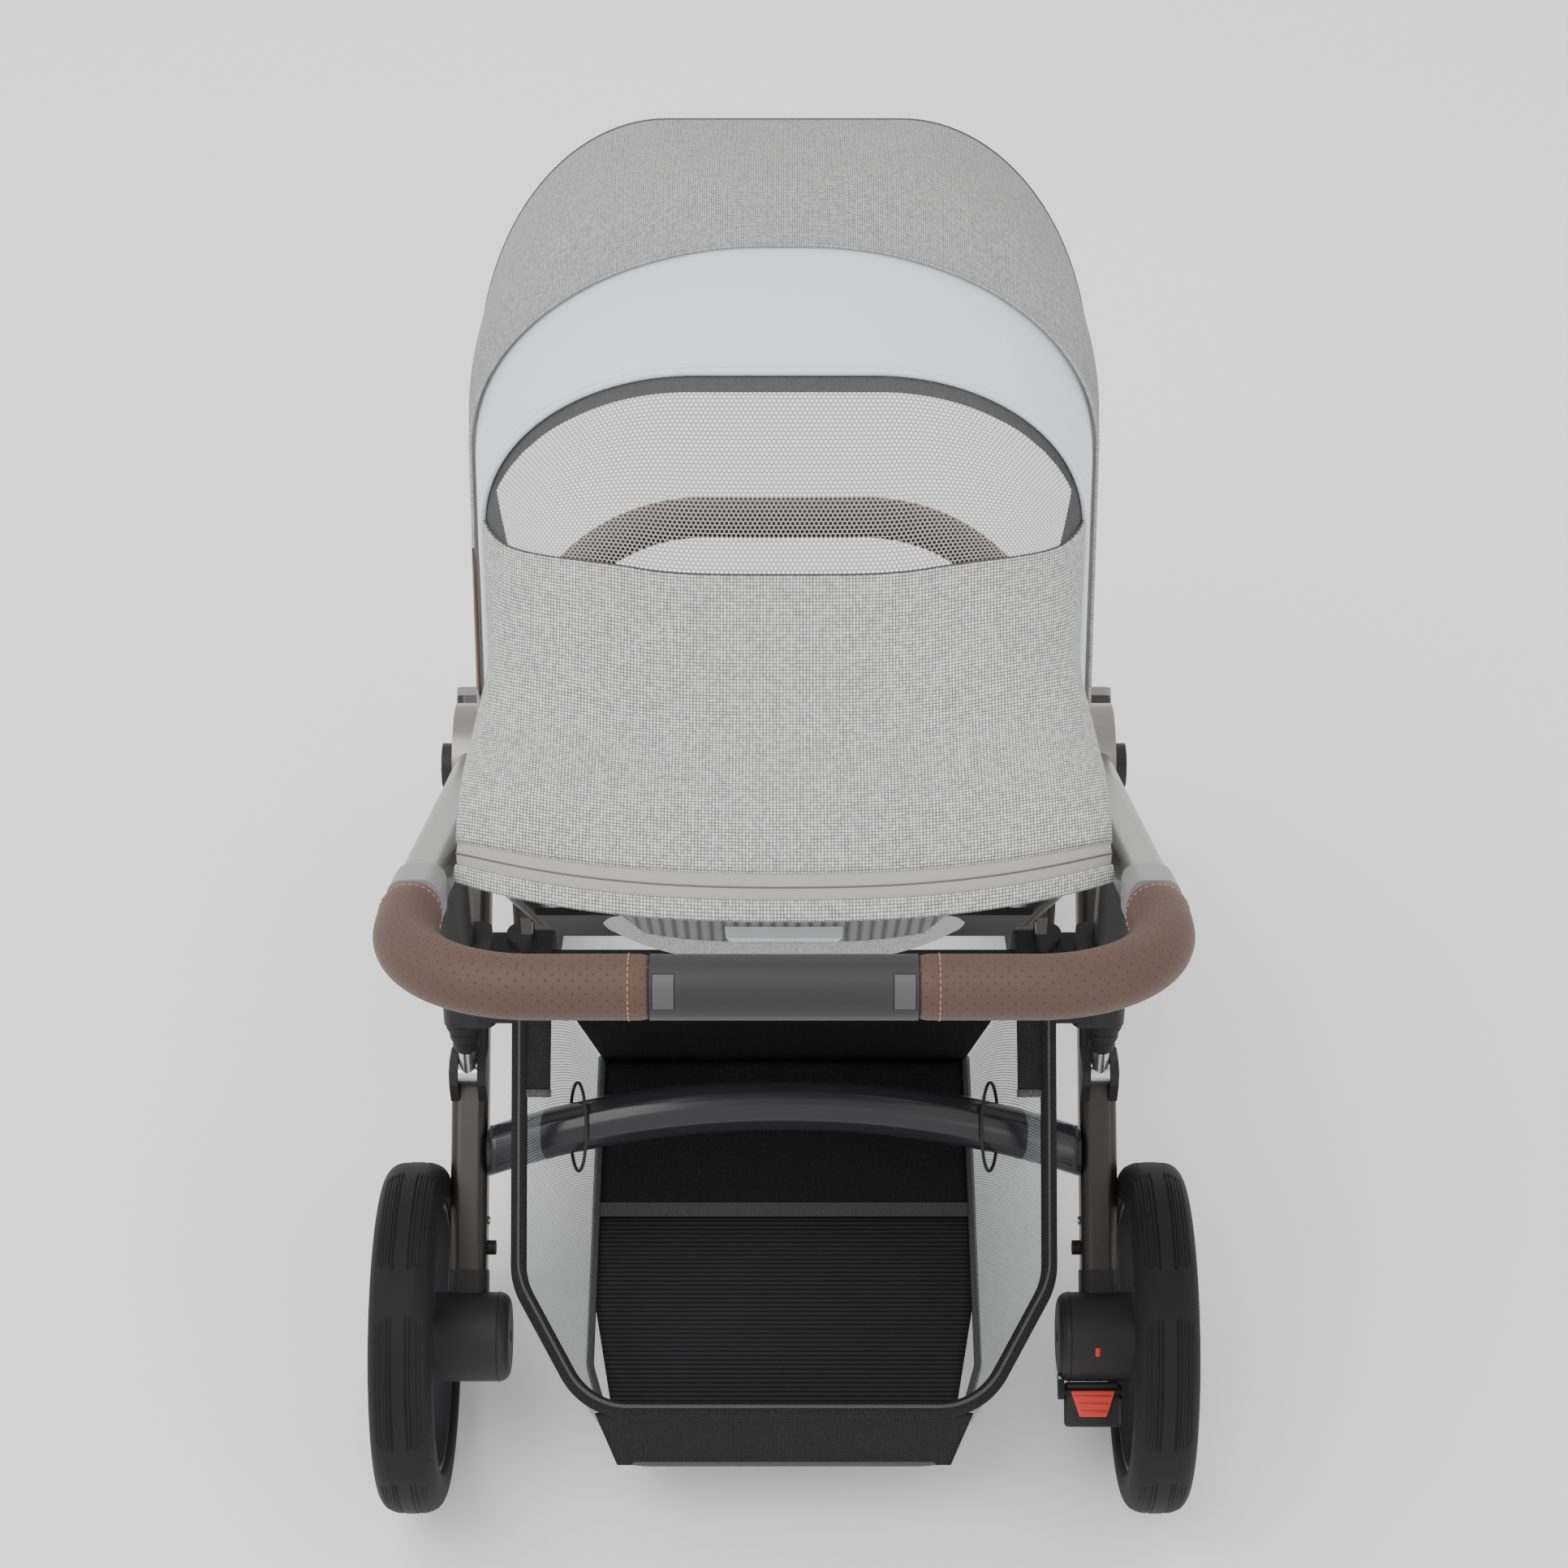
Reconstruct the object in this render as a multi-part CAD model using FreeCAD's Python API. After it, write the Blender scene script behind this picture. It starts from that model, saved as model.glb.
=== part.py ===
"""Baby stroller: folding frame, telescoping handle, reclining seat with canopy, basket and four wheels.

Millimetres. +X is the stroller's right side, +Y its direction of travel, +Z up. Everything is laid out
from the rear axle (y = 0) on the floor (z = 0), and shifted along Y as it is written, so that the origin
is on the floor in the middle of the whole outline.
"""
import FreeCAD, Part
import math
import os
from FreeCAD import Vector

# ---- clearances -------------------------------------------------------------------------------------
RUNNING = 0.06          # radial gap of a shaft in its bore
SEAT = 0.02             # gap between pieces fixed to each other on curved faces
SLIP = 0.3              # gap between faces that move past each other

# ---- wheels -----------------------------------------------------------------------------------------
REAR_WHEEL_R = 141.0
REAR_TYRE_W = 50.0
REAR_WHEEL_X = 298.6
REAR_RIM_R = 109.0
REAR_AXLE_R = 6.0
REAR_HUB_R = 24.0
FRONT_WHEEL_R = 101.0
FRONT_TYRE_W = 38.0
FRONT_RIM_R = 74.0
FRONT_AXLE_R = 4.0
FRONT_HUB_R = 16.0
TYRE_SHOULDER_R = 16.0
RIM_WALL = 5.0
SPOKES = 5
SPOKE_W = 20.0

# ---- side frame: points are (y, z) in the side view ---------------------------------------------------
HUB = (200.0, 631.0)            # fold axis of the handle arms
CROSS_PIVOT = (404.0, 375.0)    # where a rear leg is hinged to a front leg
HUB_R = 45.0
HUB_PIN_R = 8.0
ARM_X = 224.0                   # middle plane of handle arms and front legs
ARM_W = 28.0
ARM_DEPTH = 32.0
FRONT_LEG_DEPTH = 30.0
ARM_ANGLE = 139.8               # direction of a handle arm, from +Y
ARM_TOP = 478.0                 # hub to the arm's open end
COLLAR_LENGTH = 44.0
COLLAR_WALL = 2.0
FOOT_Z = 256.0                  # height of the front leg's lower end
LEG_X = 257.5                   # middle plane of the rear legs
LEG_W = 30.0
LEG_DEPTH = 34.0
LEG_DROP = 12.0                 # the leg's line passes this far under the rear axle
LEG_PAST_PIVOT = 60.0
LEG_PIN_R = 6.0
CAP_LENGTH = 7.0
TUBE_ROUNDING = 8.0
TUBE_WALL = 2.5                 # wall of the hollow legs and of the handle tube

# ---- handle -----------------------------------------------------------------------------------------
KNEE_REACH = 504.0              # hub to the handle's shallow knee, along the arm
KNEE_TO_GRIP = 101.0            # knee to the middle line of the cross grip
GRIP_ANGLE = 150.0              # direction of the handle past its knee, from +Y
HANDLE_TUBE_R = 11.0
HANDLE_BEND = 0.8               # radius of the corner bends as a part of KNEE_TO_GRIP
GRIP_R = 19.0
GRIP_GAP = 9.0                  # from the arm's collar to the grip's end
HANDLE_CENTRE_HALF = 76.5
BUTTON_W = 12.0
BUTTON_LENGTH = 20.0
BUTTON_STAND = 0.6
BUTTON_TRAVEL = 1.2
BUTTON_FACING = 135.0           # direction that the handle buttons face, from +Y
HANDLE_TRAVEL = 75.0
HANDLE_HELD = 45.0              # tube left in the arm when the handle is pulled right out

# ---- rear axle housings, struts, crossbar ---------------------------------------------------------------
HOUSING_R = 36.0
HOUSING_X0 = 222.0
HOUSING_X1 = 289.0
HOUSING_EDGE = 9.0
SOCKET_LENGTH = 60.0
SOCKET_WALL = 1.0
CLEVIS = (172.0, 267.0)         # lower pivot of the strut
CLEVIS_EAR = 7.0
CLEVIS_PIN_R = 4.0
STRUT_HINGE_DROP = 62.0         # from the fold hub down the front leg to the strut's upper pin
STRUT_PIN_R = 6.0
PEDAL_LENGTH = 20.0
STRUT_W = 28.0
STRUT_THIN = 13.5
STRUT_THIN_START = 225.0        # from the clevis pin to where the strut gets thin
STRUT_WIDE = 42.0
STRUT_DEPTH = 34.0
STRUT_EYE_INSET = 0.2           # keeps the round eye inside the flat faces of the bar it ends
STRUT_ROD_R = 6.5
STRUT_ROD_LENGTH = 190.0
STRUT_BORE_R = 9.5              # the rod's bore, with room for the small swing of the rod in it
STRUT_BORE_LENGTH = 200.0
STRUT_SHELL_START = 66.0        # from the clevis pin to the wide shell
STRUT_SHELL_END = 150.0
CROSSBAR = (131.0, 214.0)
CROSSBAR_R = 22.0
CROSSBAR_RISE = 45.0

# ---- casters ------------------------------------------------------------------------------------------
SWIVEL_Y = 560.0
TRAIL = 32.0
SOCKET_R = 20.0
SOCKET_Z0 = 226.0
SOCKET_Z1 = 282.0
STEM_R = 9.0
CROWN_Z0 = 207.0
CROWN_Z1 = 223.0
BLADE_T = 7.0
BLADE_GAP = 3.0
LOCK_TRAVEL = 2.0

# ---- basket -------------------------------------------------------------------------------------------
RIM_R = 6.5
RIM_X = 211.0
RIM_FRONT = (222.0, 379.0)
RIM_CORNER = (2.0, 222.0)
RIM_REAR = (-80.0, 164.0)
RIM_REAR_X = 156.0
RIM_BEND_R = 55.0
BASKET_WALL = 3.0
FLOOR_Z = 87.0
FLOOR_FRONT_Y = 310.0
FLOOR_REAR_Y = -86.0
FLOOR_X = 160.0
CROSSBAR_SLOT_R = 44.0          # room for the crossbar in the basket's sides, at rest
CROSSBAR_SLOT_FOLDED = (129.0, 134.0)
CROSSBAR_SLOT_FOLDED_R = 36.0   # and where the crossbar is when the frame is folded

# ---- seat ---------------------------------------------------------------------------------------------
SEAT_PIVOT = (80.0, 605.0)      # recline axis
BACK_ANGLE = 123.3              # direction of the seat back at rest, from +Y
BACK_LENGTH = 356.0
SEAT_TUBE_R = 9.0
SEAT_TUBE_X = 186.0
BACK_TUBE_X = 172.0
SEAT_FRONT_Y = 338.0
SEAT_FRAME_Z = 613.0
PAD_X = 160.0
PAD_T = 26.0
BUMPER = (385.0, 700.0)
BUMPER_R = 15.5
BUMPER_PIVOT = (236.0, 659.0)
BUMPER_START = 26.0            # from the bumper's pivot to where its tube starts
BUMPER_BEND = 0.97             # bend radius as a part of the tube's straight reach
BUMPER_PIN_R = 4.0
BACK_BEND_R = 60.0
RECLINE_PIN_R = 5.0
RECLINE_HANDLE_W = 76.0
CANOPY_PIN_R = 5.0
LEG_REST_LENGTH = 150.0
LEG_REST_ANGLE = -38.0
LEG_REST_T = 18.0
LEG_REST_X = 128.0
RELEASE_TRAVEL = 3.0

# ---- canopy -------------------------------------------------------------------------------------------
HOOD_X = 205.0                  # half width
HOOD_HINGE = (34.0, 729.0)
HOOD_REAR = (-163.0, 921.0)     # lower rear edge, behind the top of the seat back
HOOD_NECK = (-80.0, 947.0)
HOOD_DIP = (30.0, 973.0)
HOOD_SEAM = (258.0, 1098.0)     # arched seam where the front section starts
HOOD_CROWN = (300.0, 1107.0)
HOOD_FRONT = (398.0, 1075.0)
HOOD_WALL = 4.0
HOOD_FLAT = 82.0                # half width of the flat top of the front arch
HOOD_SHOULDER_H = 168.0         # height of the arch's elliptical shoulders
HOOD_NESTING = 2.0              # gap between the front section and the rear section under it
CANOPY_FOLD = 40.0


def side(x, point):
    return Vector(x, point[0], point[1])


def along(start, angle, length):
    """The side-view point at a distance from start, in a direction measured from +Y towards +Z."""
    a = math.radians(angle)
    return (start[0] + length * math.cos(a), start[1] + length * math.sin(a))


def angle_of(start, end):
    return math.degrees(math.atan2(end[1] - start[1], end[0] - start[0]))


def distance(start, end):
    return math.hypot(end[0] - start[0], end[1] - start[1])


def disc(x0, x1, centre, radius):
    return Part.makeCylinder(radius, x1 - x0, side(x0, centre), Vector(1, 0, 0))


def block(x0, x1, y0, y1, z0, z1):
    return Part.makeBox(x1 - x0, y1 - y0, z1 - z0, Vector(x0, y0, z0))


def plate(points, x0, x1):
    """A closed side-view outline, extruded along X."""
    wire = Part.makePolygon([side(x0, p) for p in points + points[:1]])
    return Part.Face(wire).extrude(Vector(x1 - x0, 0, 0))


def side_bar(start, end, x_mid, width, depth, rounding):
    """A straight bar in the side plane with a rounded rectangular section."""
    length = distance(start, end)
    bar = Part.makeBox(width, length, depth, Vector(x_mid - width / 2, 0, -depth / 2))
    if rounding > 0:
        long_edges = [e for e in bar.Edges if abs(e.tangentAt(e.FirstParameter).y) > 0.9]
        bar = bar.makeFillet(min(rounding, width / 2.1, depth / 2.1), long_edges)
    bar.rotate(Vector(0, 0, 0), Vector(1, 0, 0), angle_of(start, end))
    bar.translate(Vector(0, start[0], start[1]))
    return bar


def bent_path(points, bend_r):
    """Straight runs joined by tangent arcs of one radius."""
    edges = []
    last = points[0]
    for before, corner, after in zip(points, points[1:], points[2:]):
        u = (before - corner).normalize()
        v = (after - corner).normalize()
        half = u.getAngle(v) / 2
        trim = bend_r / math.tan(half)
        start = corner + u * trim
        end = corner + v * trim
        middle = (u + v).normalize()
        crown = corner + middle * (bend_r / math.sin(half) - bend_r)
        edges.append(Part.LineSegment(last, start).toShape())
        edges.append(Part.Arc(start, crown, end).toShape())
        last = end
    edges.append(Part.LineSegment(last, points[-1]).toShape())
    return Part.Wire(edges)


def swept(path, radius):
    first = path.OrderedEdges[0]
    start = first.valueAt(first.FirstParameter)
    section = Part.Wire(Part.makeCircle(radius, start, first.tangentAt(first.FirstParameter)))
    return path.makePipeShell([section], True, True)


def mirrored(shape):
    return shape.mirror(Vector(0, 0, 0), Vector(1, 0, 0))


def both(shape):
    return Part.makeCompound([shape, mirrored(shape)])


def box_fillet(shape, radius):
    return shape.makeFillet(radius, shape.Edges)


# ---- places worked out from the values above -----------------------------------------------------------
REAR_AXLE = (0.0, REAR_WHEEL_R)
FRONT_AXLE = (SWIVEL_Y - TRAIL, FRONT_WHEEL_R)
FRONT_LEG_ANGLE = angle_of(HUB, CROSS_PIVOT)
FOOT = along(HUB, FRONT_LEG_ANGLE, (FOOT_Z - HUB[1]) / math.sin(math.radians(FRONT_LEG_ANGLE)))
LEG_LINE = (REAR_AXLE[0], REAR_AXLE[1] - LEG_DROP)
LEG_ANGLE = angle_of(LEG_LINE, CROSS_PIVOT)
LEG_TOP = along(CROSS_PIVOT, LEG_ANGLE, LEG_PAST_PIVOT)
KNEE = along(HUB, ARM_ANGLE, KNEE_REACH)
HANDLE = along(KNEE, GRIP_ANGLE, KNEE_TO_GRIP)
STRUT_TOP = along(HUB, FRONT_LEG_ANGLE, STRUT_HINGE_DROP)
STRUT_ANGLE = angle_of(CLEVIS, STRUT_TOP)
ARM_IN = ARM_X - ARM_W / 2
ARM_OUT = ARM_X + ARM_W / 2
LEG_IN = LEG_X - LEG_W / 2
LEG_OUT = LEG_X + LEG_W / 2
BACK_TOP = along(SEAT_PIVOT, BACK_ANGLE, BACK_LENGTH)
HOOP_ANGLE = angle_of(HOOD_HINGE, HOOD_FRONT)
SEAM_ANGLE = angle_of(HOOD_HINGE, HOOD_SEAM)
REAR_MOST = HANDLE[0] - GRIP_R
FRONT_MOST = FRONT_AXLE[0] + FRONT_WHEEL_R
ORIGIN_Y = (REAR_MOST + FRONT_MOST) / 2


# ---- wheels ---------------------------------------------------------------------------------------------
def tyre(x, axle, radius, rim_r, width):
    body = disc(x - width / 2, x + width / 2, axle, radius)
    outer = [e for e in body.Edges if e.Closed]
    body = body.makeFillet(TYRE_SHOULDER_R, outer)
    return body.cut(disc(x - width, x + width, axle, rim_r))


def rim(x, axle, rim_r, width, hub_r, bore_r, hub_x0, hub_x1):
    """Ring, spokes and hub of one wheel, bored for its axle."""
    half = width / 2 - RIM_WALL
    ring = disc(x - half, x + half, axle, rim_r - SEAT)
    ring = ring.cut(disc(x - half - 1, x + half + 1, axle, rim_r - RIM_WALL))
    shape = ring.fuse(disc(hub_x0, hub_x1, axle, hub_r))
    for k in range(SPOKES):
        spoke = block(x - 6, x + 6, axle[0] - SPOKE_W / 2, axle[0] + SPOKE_W / 2,
                      axle[1] + hub_r / 2, axle[1] + rim_r - RIM_WALL / 2)
        spoke.rotate(side(x, axle), Vector(1, 0, 0), 360.0 * k / SPOKES)
        shape = shape.fuse(spoke)
    return shape.cut(disc(hub_x0 - 1, hub_x1 + 1, axle, bore_r)).removeSplitter()


def rear_rim():
    return rim(REAR_WHEEL_X, REAR_AXLE, REAR_RIM_R, REAR_TYRE_W, REAR_HUB_R, REAR_AXLE_R + RUNNING,
               HOUSING_X1 + SLIP, REAR_WHEEL_X + 17)


def front_rim():
    return rim(ARM_X, FRONT_AXLE, FRONT_RIM_R, FRONT_TYRE_W, FRONT_HUB_R, FRONT_AXLE_R + RUNNING,
               ARM_X - FRONT_TYRE_W / 2 - BLADE_GAP + SLIP, ARM_X + FRONT_TYRE_W / 2 + BLADE_GAP - SLIP)


# ---- casters --------------------------------------------------------------------------------------------
def caster_socket():
    post = Part.makeCylinder(SOCKET_R, SOCKET_Z1 - SOCKET_Z0, Vector(ARM_X, SWIVEL_Y, SOCKET_Z0))
    post = post.makeFillet(5, post.Edges[0])
    reach = side_bar(along(FOOT, FRONT_LEG_ANGLE, -34), along(FOOT, FRONT_LEG_ANGLE, 8), ARM_X, ARM_W + 6,
                     FRONT_LEG_DEPTH + 6, TUBE_ROUNDING)
    bridge = side_bar((FOOT[0] - 4, FOOT[1] - 4), (SWIVEL_Y, FOOT[1] - 4), ARM_X, ARM_W, 34, TUBE_ROUNDING)
    stem_bore = Part.makeCylinder(STEM_R + RUNNING, SOCKET_Z1 - SOCKET_Z0 - 8,
                                  Vector(ARM_X, SWIVEL_Y, SOCKET_Z0 - 1))
    return post.fuse(reach).fuse(bridge).cut(front_leg_tube()).cut(stem_bore)


def fork():
    half = FRONT_TYRE_W / 2 + BLADE_GAP
    crown = block(ARM_X - half - BLADE_T, ARM_X + half + BLADE_T, FRONT_AXLE[0] - 18, SWIVEL_Y + 18,
                  CROWN_Z0, CROWN_Z1)
    stem = Part.makeCylinder(STEM_R, SOCKET_Z1 - CROWN_Z1 - 10, Vector(ARM_X, SWIVEL_Y, CROWN_Z1))
    outline = [(FRONT_AXLE[0] - 18, CROWN_Z1), (SWIVEL_Y + 18, CROWN_Z1), (SWIVEL_Y + 14, CROWN_Z0 - 14),
               (FRONT_AXLE[0] + 12, FRONT_AXLE[1] - 6), (FRONT_AXLE[0], FRONT_AXLE[1] - 12),
               (FRONT_AXLE[0] - 12, FRONT_AXLE[1] - 6)]
    shape = crown.fuse(stem)
    for x0 in (ARM_X - half - BLADE_T, ARM_X + half):
        shape = shape.fuse(plate(outline, x0, x0 + BLADE_T))
    axle = disc(ARM_X - half - BLADE_T - 2, ARM_X + half + BLADE_T + 2, FRONT_AXLE, FRONT_AXLE_R)
    return shape.fuse(axle).removeSplitter()


def swivel_lock():
    """Thumb catch on the front of the caster socket; it slides down to hold the fork straight."""
    tab = block(ARM_X - 8, ARM_X + 8, SWIVEL_Y + SOCKET_R + SLIP, SWIVEL_Y + SOCKET_R + 7,
                CROWN_Z1 + LOCK_TRAVEL + SLIP, CROWN_Z1 + 34)
    return box_fillet(tab, 2)


# ---- side frame -----------------------------------------------------------------------------------------
def front_leg_tube():
    return side_bar(along(HUB, FRONT_LEG_ANGLE, 20), FOOT, ARM_X, ARM_W, FRONT_LEG_DEPTH, TUBE_ROUNDING)


def front_leg():
    """Leg tube with the inner half of the fold hub."""
    cheek = disc(ARM_IN - 4, ARM_X - SLIP / 2, HUB, HUB_R)
    clear = disc(ARM_X - SLIP / 2, ARM_OUT + 5, HUB, HUB_R + SLIP)
    hollow = side_bar(along(HUB, FRONT_LEG_ANGLE, HUB_R + 4), along(FOOT, FRONT_LEG_ANGLE, 1), ARM_X,
                      ARM_W - 2 * TUBE_WALL, FRONT_LEG_DEPTH - 2 * TUBE_WALL, TUBE_ROUNDING - TUBE_WALL)
    shape = front_leg_tube().cut(clear).cut(hollow).fuse(cheek)
    for centre, radius in ((HUB, HUB_PIN_R), (CROSS_PIVOT, LEG_PIN_R), (STRUT_TOP, STRUT_PIN_R)):
        shape = shape.cut(disc(ARM_IN - 5, ARM_OUT + 5, centre, radius + SEAT))
    return shape


def arm():
    """Handle arm with the outer half of the fold hub, hollow for the sliding handle tube."""
    cheek = disc(ARM_X + SLIP / 2, ARM_OUT + 3.5, HUB, HUB_R)
    clear = disc(ARM_IN - 5, ARM_X + SLIP / 2, HUB, HUB_R + SLIP)
    tube = side_bar(along(HUB, ARM_ANGLE, 20), along(HUB, ARM_ANGLE, ARM_TOP), ARM_X, ARM_W, ARM_DEPTH,
                    TUBE_ROUNDING)
    shape = tube.cut(clear).fuse(cheek)
    start = side(ARM_X, along(HUB, ARM_ANGLE, HUB_R + 12))
    axis = side(0, along((0, 0), ARM_ANGLE, 1))
    bore = Part.makeCylinder(HANDLE_TUBE_R + RUNNING, ARM_TOP, start, axis)
    return shape.cut(bore).cut(disc(ARM_IN - 5, ARM_OUT + 5, HUB, HUB_PIN_R + RUNNING))


def arm_collar():
    start = along(HUB, ARM_ANGLE, ARM_TOP - COLLAR_LENGTH)
    end = along(HUB, ARM_ANGLE, ARM_TOP + 4)
    shell = side_bar(start, end, ARM_X, ARM_W + 2 * COLLAR_WALL, ARM_DEPTH + 2 * COLLAR_WALL,
                     TUBE_ROUNDING + COLLAR_WALL)
    tube = side_bar(along(HUB, ARM_ANGLE, 20), along(HUB, ARM_ANGLE, ARM_TOP), ARM_X, ARM_W, ARM_DEPTH,
                    TUBE_ROUNDING)
    axis = side(0, along((0, 0), ARM_ANGLE, 1))
    bore = Part.makeCylinder(HANDLE_TUBE_R + RUNNING, 60, side(ARM_X, start), axis)
    return shell.cut(tube).cut(bore)


def hub_pin():
    pin = disc(ARM_IN - 4, ARM_OUT + 4, HUB, HUB_PIN_R)
    cap = disc(ARM_OUT + 3.5 + SLIP, ARM_OUT + 5, HUB, HUB_PIN_R + 6)
    return pin.fuse(cap).removeSplitter()


def front_crossbar():
    """Tube between the front legs, with a flange on each inner face."""
    centre = along(FOOT, FRONT_LEG_ANGLE, -70)
    return disc(-ARM_IN, ARM_IN, centre, 11)


# ---- handle ---------------------------------------------------------------------------------------------
def handle_path():
    low = along(HUB, ARM_ANGLE, ARM_TOP - HANDLE_TRAVEL - HANDLE_HELD)
    points = [side(-ARM_X, low), side(-ARM_X, KNEE), side(-ARM_X, HANDLE), side(ARM_X, HANDLE),
              side(ARM_X, KNEE), side(ARM_X, low)]
    return bent_path(points, HANDLE_BEND * KNEE_TO_GRIP)


def grip_path():
    low = along(HUB, ARM_ANGLE, ARM_TOP + GRIP_GAP)
    points = [side(HANDLE_CENTRE_HALF, HANDLE), side(ARM_X, HANDLE), side(ARM_X, KNEE), side(ARM_X, low)]
    return bent_path(points, HANDLE_BEND * KNEE_TO_GRIP)


def handle_bar():
    return swept(handle_path(), HANDLE_TUBE_R).cut(swept(handle_path(), HANDLE_TUBE_R - TUBE_WALL))


def grip():
    return swept(grip_path(), GRIP_R).cut(swept(grip_path(), HANDLE_TUBE_R + SEAT))


def button_pocket(gap):
    """The button's outline, grown by gap, on the rear upper side of the handle's middle section."""
    x1 = HANDLE_CENTRE_HALF - 2 + gap
    x0 = HANDLE_CENTRE_HALF - 2 - BUTTON_W - gap
    depth = GRIP_R - HANDLE_TUBE_R - 1.5
    half = BUTTON_LENGTH / 2 + gap
    bottom = GRIP_R - depth - gap
    shape = block(x0, x1, -half, half, bottom, GRIP_R + BUTTON_STAND)
    shape.rotate(Vector(0, 0, 0), Vector(1, 0, 0), BUTTON_FACING - 90)
    shape.translate(side(0, HANDLE))
    return shape.common(disc(x0, x1, HANDLE, GRIP_R + BUTTON_STAND))


def handle_centre():
    sleeve = disc(-HANDLE_CENTRE_HALF, HANDLE_CENTRE_HALF, HANDLE, GRIP_R)
    sleeve = sleeve.cut(disc(-HANDLE_CENTRE_HALF - 1, HANDLE_CENTRE_HALF + 1, HANDLE, HANDLE_TUBE_R + SEAT))
    pocket = button_pocket(SLIP)
    deeper = pocket.copy()
    deeper.translate(button_axis() * BUTTON_TRAVEL)
    pocket = pocket.fuse(deeper)
    return sleeve.cut(pocket).cut(mirrored(pocket))


def button_axis():
    """Direction in which a handle button is pressed."""
    return side(0, along((0, 0), BUTTON_FACING + 180, 1))


def handle_button():
    return button_pocket(0)


# ---- rear frame -----------------------------------------------------------------------------------------
def rear_leg_tube():
    return side_bar(along(LEG_LINE, LEG_ANGLE, 38), LEG_TOP, LEG_X, LEG_W, LEG_DEPTH, TUBE_ROUNDING)


def rear_leg():
    hollow = side_bar(LEG_LINE, along(LEG_TOP, LEG_ANGLE, 1), LEG_X, LEG_W - 2 * TUBE_WALL,
                      LEG_DEPTH - 2 * TUBE_WALL, TUBE_ROUNDING - TUBE_WALL)
    shape = rear_leg_tube().cut(hollow)
    return shape.cut(disc(LEG_IN - 1, LEG_OUT + 1, CROSS_PIVOT, LEG_PIN_R + RUNNING))


def leg_cap():
    return side_bar(LEG_TOP, along(LEG_TOP, LEG_ANGLE, CAP_LENGTH), LEG_X, LEG_W, LEG_DEPTH, TUBE_ROUNDING)


def axle_housing():
    barrel = disc(HOUSING_X0, HOUSING_X1, REAR_AXLE, HOUSING_R)
    barrel = barrel.makeFillet(HOUSING_EDGE, [e for e in barrel.Edges if e.Closed])
    socket = side_bar(LEG_LINE, along(LEG_LINE, LEG_ANGLE, SOCKET_LENGTH), LEG_X, LEG_W + 2 * SOCKET_WALL,
                      LEG_DEPTH + 4, TUBE_ROUNDING + SOCKET_WALL)
    shape = barrel.fuse(socket).cut(rear_leg_tube())
    return shape.cut(disc(HOUSING_X0 - 1, HOUSING_X1 + 1, REAR_AXLE, REAR_AXLE_R + SEAT)).removeSplitter()


def rear_axle():
    return disc(HOUSING_X0 + 4, REAR_WHEEL_X + 15, REAR_AXLE, REAR_AXLE_R)


def clevis():
    """Two ears on the upper face of a rear leg, with the strut's lower pin."""
    foot = along(CLEVIS, LEG_ANGLE, -22)
    toe = along(CLEVIS, LEG_ANGLE, 22)
    drop = distance(CLEVIS, along(CLEVIS, LEG_ANGLE - 90, 1)) * clevis_height()
    base0 = along(foot, LEG_ANGLE - 90, drop)
    base1 = along(toe, LEG_ANGLE - 90, drop)
    shoulder0 = along(CLEVIS, LEG_ANGLE + 150, 12)
    shoulder1 = along(CLEVIS, LEG_ANGLE + 30, 12)
    outline = [base0, base1, shoulder1, along(CLEVIS, LEG_ANGLE + 90, 12), shoulder0]
    ear_in = plate(outline, LEG_IN, LEG_IN + CLEVIS_EAR)
    ear_out = plate(outline, LEG_OUT - CLEVIS_EAR, LEG_OUT)
    pin = disc(LEG_IN, LEG_OUT, CLEVIS, CLEVIS_PIN_R)
    return ear_in.fuse(ear_out).fuse(pin).removeSplitter()


def clevis_height():
    """From the clevis pin down to the leg's upper face."""
    a = math.radians(LEG_ANGLE)
    dy = CLEVIS[0] - LEG_LINE[0]
    dz = CLEVIS[1] - LEG_LINE[1]
    return dz * math.cos(a) - dy * math.sin(a) - LEG_DEPTH / 2


def rear_crossbar():
    start = Vector(-LEG_IN, CROSSBAR[0], CROSSBAR[1])
    crown = Vector(0, CROSSBAR[0] + CROSSBAR_RISE * 0.35, CROSSBAR[1] + CROSSBAR_RISE)
    end = Vector(LEG_IN, CROSSBAR[0], CROSSBAR[1])
    path = Part.Wire(Part.Arc(start, crown, end).toShape())
    bar = swept(path, CROSSBAR_R)
    inner = Part.makeBox(2 * LEG_IN, 400, 400, Vector(-LEG_IN, CROSSBAR[0] - 200, CROSSBAR[1] - 200))
    return bar.common(inner)


def leg_bolt():
    """The pivot bolt through a front and a rear leg."""
    bolt = disc(ARM_IN + 1, LEG_OUT + 4, CROSS_PIVOT, LEG_PIN_R)
    head = disc(LEG_OUT + SLIP, LEG_OUT + 4, CROSS_PIVOT, LEG_PIN_R + 4)
    return bolt.fuse(head).removeSplitter()


def leg_knob():
    return disc(LEG_IN - 7, LEG_IN, along(LEG_LINE, LEG_ANGLE, 78), 6)


def brake_pivot():
    return along(REAR_AXLE, -160, HOUSING_R + 9)


def brake_pedal():
    """Foot pedal behind the right axle housing, on its own pin."""
    pivot = brake_pivot()
    tip = along(pivot, -150, PEDAL_LENGTH)
    pad = side_bar(pivot, tip, LEG_X - 8, 44, 12, 4)
    eye = disc(LEG_X - 30, LEG_X + 14, pivot, 8)
    return pad.fuse(eye).cut(disc(LEG_X - 31, LEG_X + 15, pivot, 3 + RUNNING)).removeSplitter()


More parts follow.
